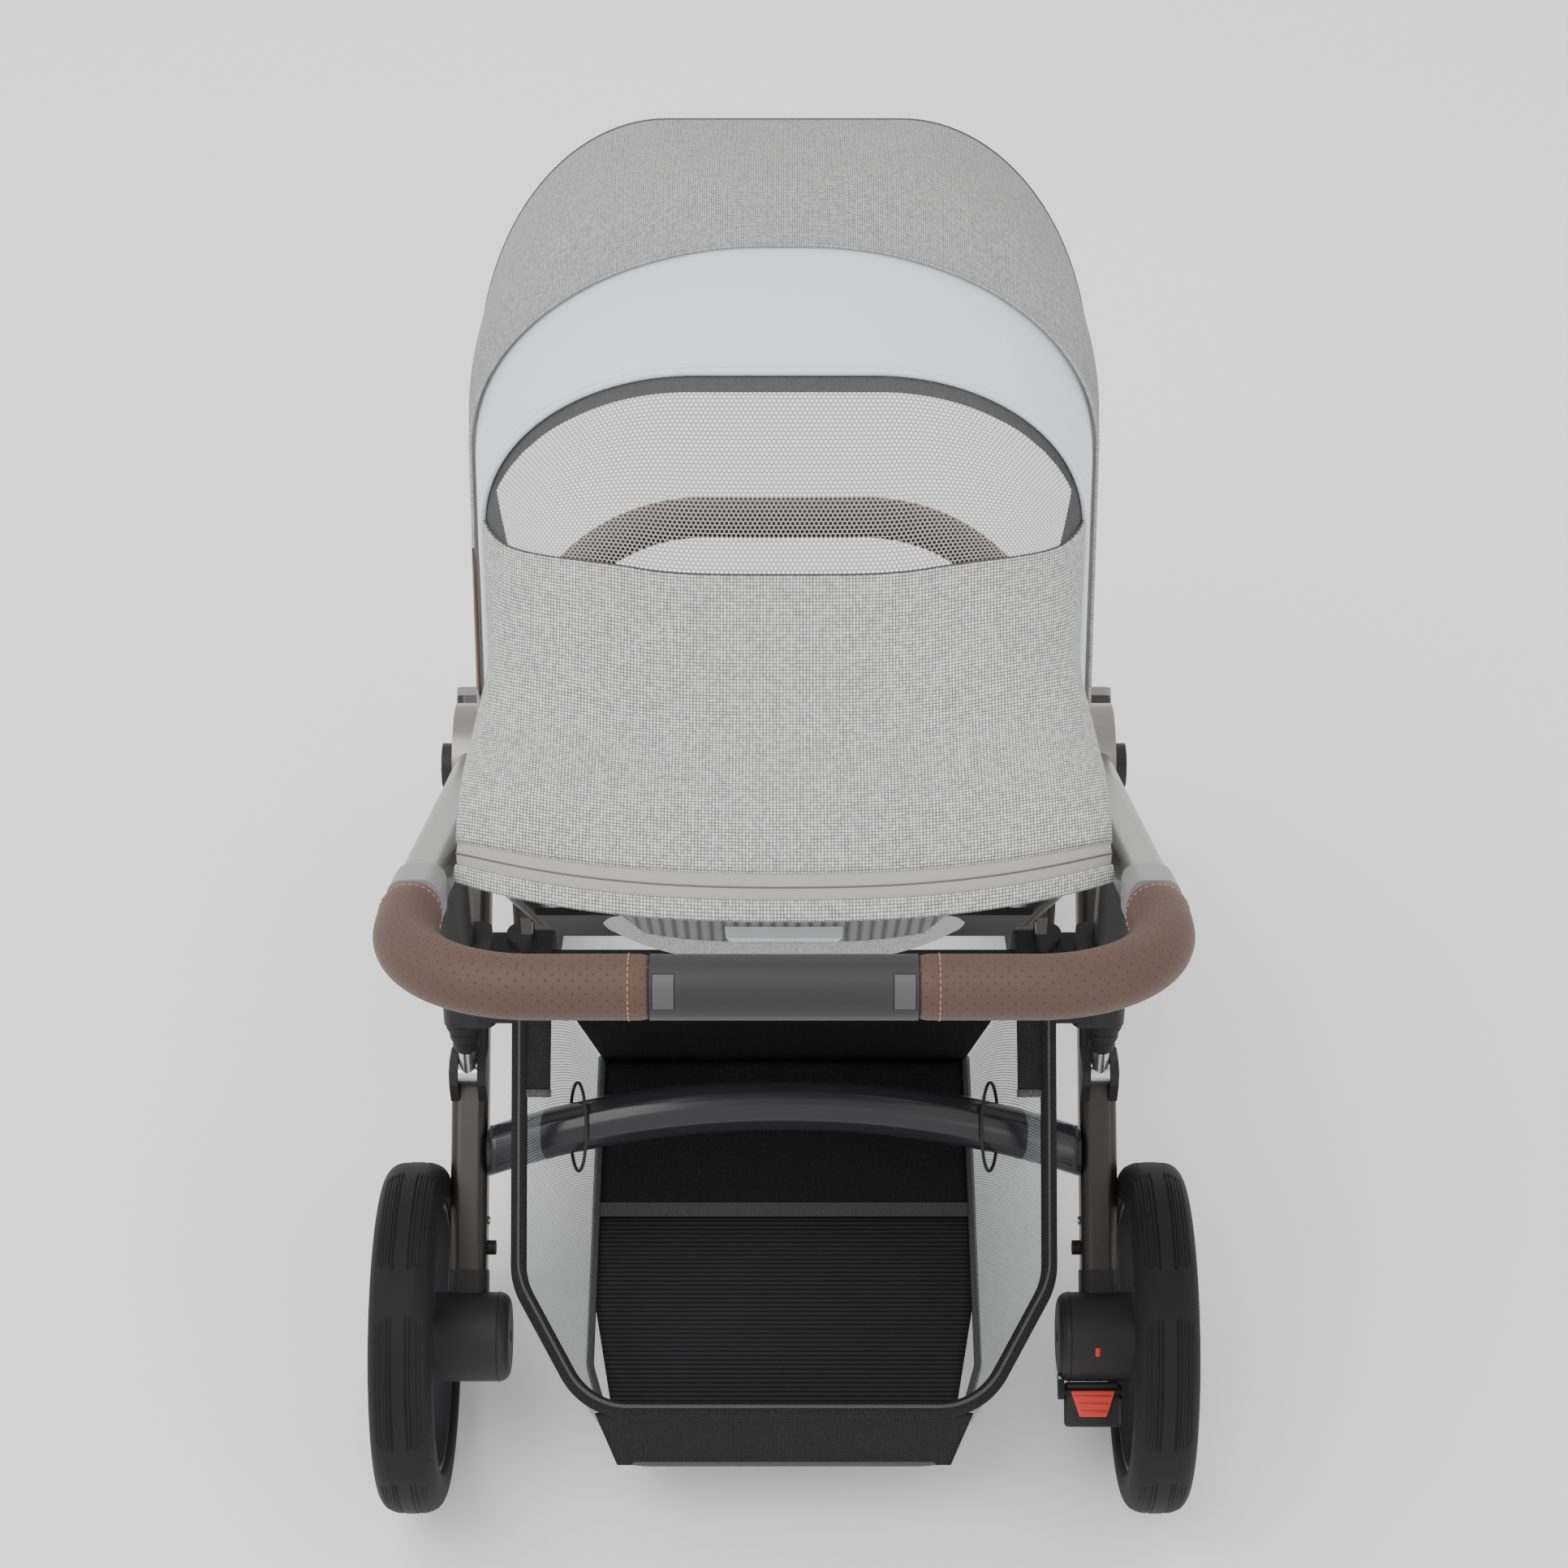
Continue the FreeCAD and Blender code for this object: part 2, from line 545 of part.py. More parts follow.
def brake_mount():
    """Ears and pin that carry the pedal on the right housing."""
    pivot = brake_pivot()
    root = along(REAR_AXLE, -160, HOUSING_R - 6)
    shape = disc(LEG_X - 36, LEG_X + 20, pivot, 3)
    for x0 in (LEG_X - 36, LEG_X + 15):
        shape = shape.fuse(side_bar(root, pivot, x0 + 2.5, 5, 12, 0)).fuse(disc(x0, x0 + 5, pivot, 6))
    return shape.cut(disc(HOUSING_X0, HOUSING_X1, REAR_AXLE, HOUSING_R)).removeSplitter()


# ---- struts and basket -------------------------------------------------------------------------------
def strut():
    """Hollow shell that widens inwards above the boot, and runs up to its pin on the front leg."""
    shell0 = along(CLEVIS, STRUT_ANGLE, STRUT_SHELL_START)
    shell1 = along(CLEVIS, STRUT_ANGLE, STRUT_SHELL_END)
    thin = along(CLEVIS, STRUT_ANGLE, STRUT_THIN_START)
    inner = LEG_OUT - STRUT_W
    wide = side_bar(shell0, shell1, LEG_OUT - STRUT_WIDE / 2, STRUT_WIDE, STRUT_DEPTH, TUBE_ROUNDING)
    middle = side_bar(shell0, thin, LEG_OUT - STRUT_W / 2, STRUT_W, STRUT_DEPTH, TUBE_ROUNDING)
    top = side_bar(along(thin, STRUT_ANGLE, -30), STRUT_TOP, inner + STRUT_THIN / 2, STRUT_THIN, STRUT_DEPTH,
                   TUBE_ROUNDING)
    eye = disc(inner, inner + STRUT_THIN, STRUT_TOP, STRUT_DEPTH / 2 - STRUT_EYE_INSET)
    axis = side(0, along((0, 0), STRUT_ANGLE, 1))
    bore = Part.makeCylinder(STRUT_BORE_R, STRUT_BORE_LENGTH, side(LEG_X, CLEVIS), axis)
    shape = wide.fuse(middle).fuse(top).fuse(eye).cut(bore)
    return shape.cut(disc(inner - 1, LEG_OUT, STRUT_TOP, STRUT_PIN_R + RUNNING)).removeSplitter()


def strut_pin():
    """Pin in the front leg that carries the strut's upper eye."""
    return disc(ARM_IN + 1, LEG_OUT - STRUT_W + STRUT_THIN, STRUT_TOP, STRUT_PIN_R)


def strut_rod():
    """Sliding rod with the eye on the clevis pin."""
    axis = side(0, along((0, 0), STRUT_ANGLE, 1))
    shape = Part.makeCylinder(STRUT_ROD_R, STRUT_ROD_LENGTH, side(LEG_X, CLEVIS), axis)
    eye = disc(LEG_IN + CLEVIS_EAR + SLIP, LEG_OUT - CLEVIS_EAR - SLIP, CLEVIS, 9)
    return shape.fuse(eye).cut(disc(LEG_IN, LEG_OUT, CLEVIS, CLEVIS_PIN_R + RUNNING)).removeSplitter()


def strut_boot():
    """Three stepped rubber rings round the rod, under the shell."""
    start = side(LEG_X, CLEVIS)
    axis = side(0, along((0, 0), STRUT_ANGLE, 1))
    core = Part.makeCylinder(STRUT_ROD_R + 2, 36, start + axis * (STRUT_SHELL_START - 37), axis)
    for k, radius in enumerate((10.0, 12.5, 15.0)):
        ring = Part.makeCylinder(radius, 11, start + axis * (STRUT_SHELL_START - 37 + 12 * k), axis)
        core = core.fuse(ring.makeFillet(3, ring.Edges))
    rod = Part.makeCylinder(STRUT_ROD_R + SEAT, STRUT_ROD_LENGTH, start, axis)
    return core.cut(rod).removeSplitter()


def rim_path():
    points = [side(RIM_X, RIM_FRONT), side(RIM_X, RIM_CORNER), side(RIM_REAR_X, RIM_REAR),
              side(-RIM_REAR_X, RIM_REAR), side(-RIM_X, RIM_CORNER), side(-RIM_X, RIM_FRONT)]
    return bent_path(points, RIM_BEND_R)


def basket_rim():
    return swept(rim_path(), RIM_R)


def basket_outline(inset):
    """Upper edge just under the rim, and the floor's edge, both inset by the wall."""
    drop = RIM_R + 1
    front = (RIM_FRONT[0] - inset, RIM_FRONT[1] - drop)
    corner = (RIM_CORNER[0], RIM_CORNER[1] - drop)
    slope = (front[1] - corner[1]) / (front[0] - corner[0])
    rear_y = RIM_REAR[0] + inset
    rear = (rear_y, corner[1] + slope * (rear_y - corner[0]))
    x = RIM_X - inset
    upper = [side(x, front), side(x, corner), side(RIM_REAR_X - inset, rear),
             side(-RIM_REAR_X + inset, rear), side(-x, corner), side(-x, front)]
    fx = FLOOR_X - inset
    z = FLOOR_Z + inset
    lower = [Vector(fx, FLOOR_FRONT_Y - inset, z), Vector(fx, RIM_CORNER[0], z),
             Vector(fx - 25, FLOOR_REAR_Y + inset, z), Vector(-fx + 25, FLOOR_REAR_Y + inset, z),
             Vector(-fx, RIM_CORNER[0], z), Vector(-fx, FLOOR_FRONT_Y - inset, z)]
    return upper, lower


def basket():
    shells = []
    for inset in (0.0, BASKET_WALL):
        upper, lower = basket_outline(inset)
        wires = [Part.makePolygon(ring + ring[:1]) for ring in (lower, upper)]
        shells.append(Part.makeLoft(wires, True, True))
    upper, lower = basket_outline(BASKET_WALL)
    normal = (upper[1] - upper[0]).cross(upper[3] - upper[2]).normalize()
    lid = Part.Face(Part.makePolygon(upper + upper[:1])).extrude(normal * (20 if normal.z > 0 else -20))
    shape = shells[0].cut(shells[1]).cut(lid)
    for x0 in (-RIM_X - 5, FLOOR_X - 40):
        x1 = x0 + RIM_X - FLOOR_X + 45
        shape = shape.cut(disc(x0, x1, CROSSBAR, CROSSBAR_SLOT_R))
        shape = shape.cut(disc(x0, x1, CROSSBAR_SLOT_FOLDED, CROSSBAR_SLOT_FOLDED_R))
        shape = shape.cut(side_bar(CROSSBAR, CROSSBAR_SLOT_FOLDED, (x0 + x1) / 2, x1 - x0,
                                   2 * CROSSBAR_SLOT_FOLDED_R, 0))
    shape = shape.cut(swept(rim_path(), RIM_R + SLIP))
    return shape.cut(both(basket_bracket()))


def basket_bracket():
    """Arms from the strut's inner side to the end post of the basket rim."""
    gap = RIM_R + SEAT
    upper = block(RIM_X, LEG_OUT - STRUT_W, RIM_FRONT[0] - 36, RIM_FRONT[0] + 8, RIM_FRONT[1] - 9,
                  RIM_FRONT[1] + 3)
    lower_y = RIM_FRONT[0] - 44
    lower_z = RIM_FRONT[1] - 44 * (RIM_FRONT[1] - RIM_CORNER[1]) / (RIM_FRONT[0] - RIM_CORNER[0])
    lower = block(RIM_X, LEG_OUT - STRUT_W, lower_y - 8, lower_y + 8, lower_z - 7, lower_z + 7)
    post = Part.makeCylinder(10, 26, Vector(RIM_X, RIM_FRONT[0], RIM_FRONT[1] - 13))
    back = side_bar((lower_y, lower_z), (RIM_FRONT[0] - 20, RIM_FRONT[1] - 5), RIM_X + 24, 12, 12, 0)
    rod = swept(rim_path(), gap)
    return post.fuse(upper).fuse(lower).fuse(back).cut(rod).cut(strut()).removeSplitter()


# ---- seat --------------------------------------------------------------------------------------------
def seat_side():
    """Ear and pin of the recline axis, and the post and pin of the bumper bar, on the right side."""
    x = SEAT_TUBE_X
    y, z = SEAT_PIVOT
    shape = block(x - 4, x + 4, y - 10, y + 20, z - 10, z + 10)
    shape = shape.fuse(disc(BACK_TUBE_X - SEAT_TUBE_R, x, SEAT_PIVOT, RECLINE_PIN_R))
    y, z = BUMPER_PIVOT
    shape = shape.fuse(block(x - 9, x - 3 - SLIP, y - 10, y + 10, SEAT_FRAME_Z, z))
    shape = shape.fuse(disc(x - 9, x - 3 - SLIP, BUMPER_PIVOT, 10))
    return shape.fuse(disc(x - 9, x + 7, BUMPER_PIVOT, BUMPER_PIN_R))


def seat_frame():
    """U tube round the seat, open at the back."""
    z = SEAT_FRAME_Z
    points = [Vector(-SEAT_TUBE_X, SEAT_PIVOT[0] + 14, z), Vector(-SEAT_TUBE_X, SEAT_FRONT_Y, z),
              Vector(SEAT_TUBE_X, SEAT_FRONT_Y, z), Vector(SEAT_TUBE_X, SEAT_PIVOT[0] + 14, z)]
    shape = swept(bent_path(points, 50), SEAT_TUBE_R)
    return shape.fuse(seat_side()).fuse(mirrored(seat_side())).removeSplitter()


def seat_mount():
    """Block between the fold hub and the seat frame's side tube."""
    shape = block(SEAT_TUBE_X, ARM_IN - 4, HUB[0] - 16, HUB[0] + 16, HUB[1] - 30, HUB[1] + 12)
    tube = Part.makeCylinder(SEAT_TUBE_R + SEAT, 300, Vector(SEAT_TUBE_X, 0, SEAT_FRAME_Z), Vector(0, 1, 0))
    pocket = block(SEAT_TUBE_X + 10, ARM_IN - 10, HUB[0] - 10, HUB[0] + 10, HUB[1] + 2, HUB[1] + 13)
    return shape.cut(tube).cut(pocket)


def seat_release():
    return block(SEAT_TUBE_X + 10.4, ARM_IN - 10.4, HUB[0] - 9.6, HUB[0] + 9.6,
                 HUB[1] + 2 + RELEASE_TRAVEL + SLIP, HUB[1] + 18)


def seat_pad():
    shape = block(-PAD_X, PAD_X, SEAT_PIVOT[0] + 34, SEAT_FRONT_Y - SEAT_TUBE_R - 8, SEAT_FRAME_Z - PAD_T / 2,
                  SEAT_FRAME_Z + PAD_T / 2)
    return box_fillet(shape, 9)


def back_side():
    """Recline eye, and the arm and pin that carry the canopy, on the right side."""
    eye = disc(BACK_TUBE_X - 8, BACK_TUBE_X + 8, SEAT_PIVOT, 11)
    bracket = side_bar(along(SEAT_PIVOT, BACK_ANGLE, 120), HOOD_HINGE, BACK_TUBE_X, 10, 14, 2)
    return eye.fuse(bracket).fuse(disc(BACK_TUBE_X, HOOD_X, HOOD_HINGE, CANOPY_PIN_R))


def back_frame():
    """U tube round the seat back, hinged at its lower ends."""
    low = along(SEAT_PIVOT, BACK_ANGLE, 8)
    points = [side(-BACK_TUBE_X, low), side(-BACK_TUBE_X, BACK_TOP), side(BACK_TUBE_X, BACK_TOP),
              side(BACK_TUBE_X, low)]
    shape = swept(bent_path(points, BACK_BEND_R), SEAT_TUBE_R)
    shape = shape.fuse(back_side()).fuse(mirrored(back_side()))
    reach = BACK_TUBE_X + SEAT_TUBE_R
    return shape.cut(disc(-reach, reach, SEAT_PIVOT, RECLINE_PIN_R + RUNNING)).removeSplitter()


def back_pad():
    """Cushion inside the back frame; its upper corners clear the frame's bends."""
    half = BACK_TUBE_X - SEAT_TUBE_R - 1
    length = BACK_LENGTH - SEAT_TUBE_R - 1
    cut = 0.7 * BACK_BEND_R
    outline = [Vector(-half, 40, 0), Vector(half, 40, 0), Vector(half, length - cut, 0),
               Vector(half - cut, length, 0), Vector(cut - half, length, 0), Vector(-half, length - cut, 0)]
    pad = Part.Face(Part.makePolygon(outline + outline[:1])).extrude(Vector(0, 0, PAD_T))
    pad.translate(Vector(0, 0, -PAD_T / 2))
    pad = box_fillet(pad, 6)
    pad.rotate(Vector(0, 0, 0), Vector(1, 0, 0), BACK_ANGLE)
    pad.translate(side(0, SEAT_PIVOT))
    return pad


def back_panel():
    """Rear cover of the seat back, with its cross rib."""
    off = PAD_T / 2 + 3
    start = along(along(SEAT_PIVOT, BACK_ANGLE, 60), BACK_ANGLE + 90, off)
    end = along(along(SEAT_PIVOT, BACK_ANGLE, BACK_LENGTH - 60), BACK_ANGLE + 90, off)
    return side_bar(start, end, 0, 2 * (BACK_TUBE_X - SEAT_TUBE_R - 4), 5, 2)


def recline_handle():
    off = PAD_T / 2 + 6 + SLIP + 7
    start = along(along(SEAT_PIVOT, BACK_ANGLE, BACK_LENGTH - 120), BACK_ANGLE + 90, off)
    end = along(along(SEAT_PIVOT, BACK_ANGLE, BACK_LENGTH - 75), BACK_ANGLE + 90, off)
    return side_bar(start, end, 0, RECLINE_HANDLE_W, 12, 4)


def leg_rest():
    """Padded board with two clips round the seat frame's front tube."""
    pivot = (SEAT_FRONT_Y, SEAT_FRAME_Z)
    start = along(pivot, LEG_REST_ANGLE, SEAT_TUBE_R + 6)
    end = along(start, LEG_REST_ANGLE, LEG_REST_LENGTH)
    shape = side_bar(start, end, 0, 2 * LEG_REST_X, LEG_REST_T, 9)
    for x in (-LEG_REST_X + 40, LEG_REST_X - 70):
        shape = shape.fuse(disc(x, x + 30, pivot, SEAT_TUBE_R + 3.5))
        shape = shape.fuse(side_bar(pivot, along(start, LEG_REST_ANGLE, 10), x + 15, 30, 12, 0))
    reach = LEG_REST_X + 1
    return shape.cut(disc(-reach, reach, pivot, SEAT_TUBE_R + RUNNING)).removeSplitter()


def bumper_path():
    """Bow from one seat side to the other, rising towards its middle."""
    rise = angle_of(BUMPER_PIVOT, BUMPER)
    back = along(BUMPER_PIVOT, rise, BUMPER_START)
    points = [side(-SEAT_TUBE_X, back), side(-SEAT_TUBE_X, BUMPER), side(SEAT_TUBE_X, BUMPER),
              side(SEAT_TUBE_X, back)]
    return bent_path(points, BUMPER_BEND * distance(back, BUMPER))


def bumper_bar():
    shape = swept(bumper_path(), BUMPER_R)
    rise = angle_of(BUMPER_PIVOT, BUMPER)
    x = SEAT_TUBE_X
    link = side_bar(BUMPER_PIVOT, along(BUMPER_PIVOT, rise, 34), x + 1.5, 9, 20, 3)
    link = link.fuse(disc(x - 3, x + 6, BUMPER_PIVOT, 12))
    shape = shape.fuse(link).fuse(mirrored(link))
    return shape.cut(disc(-x - 10, x + 10, BUMPER_PIVOT, BUMPER_PIN_R + RUNNING)).removeSplitter()


# ---- canopy ------------------------------------------------------------------------------------------
def hood_curve(offset):
    """Upper outline of the hood in the side view, from its rear edge to its front edge."""
    points = [HOOD_REAR, HOOD_NECK, HOOD_DIP, HOOD_SEAM, HOOD_CROWN, HOOD_FRONT]
    spline = Part.BSplineCurve()
    spline.interpolate([side(0, (p[0], p[1] - offset)) for p in points])
    return spline


def hood_fan(offset):
    """The space under the hood between the seat back and the front hoop."""
    curve = hood_curve(offset).toShape()
    rear = curve.valueAt(curve.FirstParameter)
    front = curve.valueAt(curve.LastParameter)
    low_front = side(0, (HOOD_HINGE[0] + 22, HOOD_HINGE[1] + 16))
    low_rear = side(0, (HOOD_HINGE[0] - 22, HOOD_HINGE[1] + 6))
    lines = [Part.LineSegment(front, low_front).toShape(), Part.LineSegment(low_front, low_rear).toShape(),
             Part.LineSegment(low_rear, rear).toShape()]
    face = Part.Face(Part.Wire([curve] + lines))
    half = HOOD_X - offset
    face.translate(Vector(-half, 0, 0))
    return face.extrude(Vector(2 * half, 0, 0))


def hood_arch(offset):
    """Prism square to the front hoop, whose section is the hoop's arch."""
    reach = distance(HOOD_HINGE, HOOD_FRONT) - offset
    half = HOOD_X - offset
    shoulder = HOOD_SHOULDER_H
    flat = HOOD_FLAT
    base = -500.0
    centre_z = reach - shoulder
    right = Part.Ellipse(Vector(0, 0, 0), max(shoulder, half - flat), min(shoulder, half - flat))
    arc = Part.ArcOfEllipse(right, 0, math.pi / 2).toShape()
    arc.rotate(Vector(0, 0, 0), Vector(0, 0, 1), 90)
    start = Vector(half, centre_z, 0)
    quarter = mirrored(arc)
    quarter.translate(Vector(flat, centre_z, 0))
    other = mirrored(quarter)
    edges = [Part.LineSegment(Vector(half, base, 0), start).toShape(), quarter,
             Part.LineSegment(Vector(flat, reach, 0), Vector(-flat, reach, 0)).toShape(), other,
             Part.LineSegment(Vector(-half, centre_z, 0), Vector(-half, base, 0)).toShape(),
             Part.LineSegment(Vector(-half, base, 0), Vector(half, base, 0)).toShape()]
    face = Part.Face(Part.Wire(Part.__sortEdges__(edges)))
    prism = face.extrude(Vector(0, 0, 1600))
    prism.translate(Vector(0, 0, -800))
    prism.rotate(Vector(0, 0, 0), Vector(1, 0, 0), HOOP_ANGLE)
    prism.translate(side(0, HOOD_HINGE))
    return prism


def hood_shell(offset):
    """The hood's skin, its outer face this far inside the full outline, open below."""
    outer = hood_fan(offset).common(hood_arch(offset))
    inner = hood_fan(offset + HOOD_WALL).common(hood_arch(offset + HOOD_WALL))
    below = inner.copy()
    below.translate(Vector(0, 0, -60))
    return outer.cut(inner).cut(below)


def hood_splitter(gap):
    """Everything ahead of the arched seam."""
    far = along(HOOD_HINGE, SEAM_ANGLE, 700)
    ahead = along(HOOD_HINGE, SEAM_ANGLE - 80, 900)
    start = along(HOOD_HINGE, SEAM_ANGLE - 90, gap)
    return plate([start, along(far, SEAM_ANGLE - 90, gap), along(ahead, SEAM_ANGLE, 500), ahead], -300, 300)


def canopy_rear():
    """Rear section; the front section slides back over it, so it stays inside that section's sweep."""
    offset = HOOD_WALL + HOOD_NESTING
    shape = hood_shell(offset)
    for step in range(1, 5):
        swung = hood_arch(offset)
        swung.rotate(side(0, HOOD_HINGE), Vector(1, 0, 0), step * CANOPY_FOLD / 4)
        shape = shape.common(swung)
    clear = disc(-HOOD_X, HOOD_X, HOOD_HINGE, 16)
    return shape.cut(hood_splitter(0)).cut(clear)


def canopy_front():
    """Front section, with the eyes that turn on the canopy pins."""
    shape = hood_shell(0).common(hood_splitter(SLIP))
    eye = disc(HOOD_X - HOOD_WALL, HOOD_X, HOOD_HINGE, 15)
    eye = eye.fuse(side_bar(HOOD_HINGE, along(HOOD_HINGE, HOOP_ANGLE + 8, 60), HOOD_X - HOOD_WALL / 2,
                            HOOD_WALL, 10, 0))
    shape = shape.fuse(eye).fuse(mirrored(eye))
    return shape.cut(disc(-HOOD_X - 1, HOOD_X + 1, HOOD_HINGE, CANOPY_PIN_R + RUNNING)).removeSplitter()


SIDED = {
    "rear_rim": rear_rim, "front_rim": front_rim, "fork": fork, "swivel_lock": swivel_lock,
    "front_leg": front_leg, "arm": arm, "rear_leg": rear_leg, "axle_housing": axle_housing, "strut": strut,
    "grip": grip, "handle_button": handle_button, "seat_release": seat_release,
}
SINGLES = {
    "front_crossbar": front_crossbar, "handle_bar": handle_bar, "handle_centre": handle_centre,
    "rear_crossbar": rear_crossbar, "brake_pedal": brake_pedal, "brake_mount": brake_mount,
    "basket_rim": basket_rim, "basket": basket, "seat_frame": seat_frame, "seat_pad": seat_pad,
    "back_frame": back_frame, "back_pad": back_pad, "back_panel": back_panel,
    "recline_handle": recline_handle, "leg_rest": leg_rest, "bumper_bar": bumper_bar,
    "canopy_rear": canopy_rear, "canopy_front": canopy_front,
}
PAIRS = {
    "caster_sockets": caster_socket, "arm_collars": arm_collar, "hub_pins": hub_pin, "leg_caps": leg_cap,
    "rear_axles": rear_axle, "clevises": clevis, "leg_bolts": leg_bolt, "leg_knobs": leg_knob,
    "strut_boots": strut_boot, "strut_rods": strut_rod, "strut_pins": strut_pin,
    "basket_brackets": basket_bracket, "seat_mounts": seat_mount,
}


def save(name, shape):
    shape = shape.copy()
    shape.translate(Vector(0, -ORIGIN_Y, 0))
    shape.exportStep("parts/" + name + ".step")


os.makedirs("parts", exist_ok=True)
for name, make in SIDED.items():
    right_part = make()
    save(name + "_right", right_part)
    save(name + "_left", mirrored(right_part))
for name, make in SINGLES.items():
    save(name, make())
for name, make in PAIRS.items():
    save(name, both(make()))
for prefix, x, axle, radius, rim_r, width in (
        ("rear_tyre", REAR_WHEEL_X, REAR_AXLE, REAR_WHEEL_R, REAR_RIM_R, REAR_TYRE_W),
        ("front_tyre", ARM_X, FRONT_AXLE, FRONT_WHEEL_R, FRONT_RIM_R, FRONT_TYRE_W)):
    right_part = tyre(x, axle, radius, rim_r, width)
    save(prefix + "_right", right_part)
    save(prefix + "_left", mirrored(right_part))
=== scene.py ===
"""Looks of the baby stroller: fabric, leather, tyres and trim built round the CAD frame."""
import bpy
import bmesh
import math
from mathutils import Vector, Matrix


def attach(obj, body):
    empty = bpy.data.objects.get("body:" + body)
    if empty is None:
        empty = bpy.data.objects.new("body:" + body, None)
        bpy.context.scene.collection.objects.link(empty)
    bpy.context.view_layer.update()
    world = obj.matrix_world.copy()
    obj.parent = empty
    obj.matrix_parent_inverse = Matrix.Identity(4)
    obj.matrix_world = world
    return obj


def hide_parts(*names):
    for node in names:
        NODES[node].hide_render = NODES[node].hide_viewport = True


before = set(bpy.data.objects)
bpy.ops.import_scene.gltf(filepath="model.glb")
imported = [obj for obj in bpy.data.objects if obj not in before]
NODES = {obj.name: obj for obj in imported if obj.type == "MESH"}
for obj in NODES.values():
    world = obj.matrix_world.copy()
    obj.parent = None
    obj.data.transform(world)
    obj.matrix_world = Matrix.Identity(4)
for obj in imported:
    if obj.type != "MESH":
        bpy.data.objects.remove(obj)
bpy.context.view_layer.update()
SHIFT = 168.789        # rear axle to the origin, along Y, in mm


def at(x, y, z):
    """A point given in mm from the rear axle, in metres in the object's frame."""
    return Vector((x, y - SHIFT, z)) / 1000


def along(start, angle, length):
    a = math.radians(angle)
    return (start[0] + length * math.cos(a), start[1] + length * math.sin(a))


def angle_of(start, end):
    return math.degrees(math.atan2(end[1] - start[1], end[0] - start[0]))


def lerp(a, b, t):
    return a + (b - a) * t


def table(points, t):
    """Piecewise-linear value through (t, value) pairs."""
    if t <= points[0][0]:
        return points[0][1]
    for (t0, v0), (t1, v1) in zip(points, points[1:]):
        if t <= t1:
            return lerp(v0, v1, (t - t0) / (t1 - t0))
    return points[-1][1]


def smooth_table(points, t):
    """Smooth value through (t, value) pairs, with flat-free Catmull-Rom joins."""
    n = len(points)
    if t <= points[0][0]:
        return points[0][1]
    if t >= points[-1][0]:
        return points[-1][1]
    for i in range(n - 1):
        t0, v0 = points[i]
        t1, v1 = points[i + 1]
        if t <= t1:
            s = (t - t0) / (t1 - t0)
            before = points[max(i - 1, 0)]
            after = points[min(i + 2, n - 1)]
            m0 = (v1 - before[1]) / (t1 - before[0]) * (t1 - t0)
            m1 = (after[1] - v0) / (after[0] - t0) * (t1 - t0)
            return ((2 * s ** 3 - 3 * s * s + 1) * v0 + (s ** 3 - 2 * s * s + s) * m0
                    + (3 * s * s - 2 * s ** 3) * v1 + (s ** 3 - s * s) * m1)
    return points[-1][1]


# ---- shader helpers ---------------------------------------------------------------------------------
class Val:
    """A shader value that can be used in sums."""

    def __init__(self, tree, socket):
        self.tree, self.socket = tree, socket

    def op(self, kind, *others):
        node = self.tree.nodes.new("ShaderNodeMath")
        node.operation = kind
        for k, other in enumerate((self,) + others):
            if isinstance(other, Val):
                self.tree.links.new(other.socket, node.inputs[k])
            else:
                node.inputs[k].default_value = other
        return Val(self.tree, node.outputs[0])

    def __add__(self, o):
        return self.op("ADD", o)

    def __sub__(self, o):
        return self.op("SUBTRACT", o)

    def __mul__(self, o):
        return self.op("MULTIPLY", o)

    def __truediv__(self, o):
        return self.op("DIVIDE", o)

    def frac(self):
        return self.op("FRACT")

    def floor(self):
        return self.op("FLOOR")

    def abs(self):
        return self.op("ABSOLUTE")

    def clamp(self):
        node = self.tree.nodes.new("ShaderNodeClamp")
        self.tree.links.new(self.socket, node.inputs[0])
        return Val(self.tree, node.outputs[0])


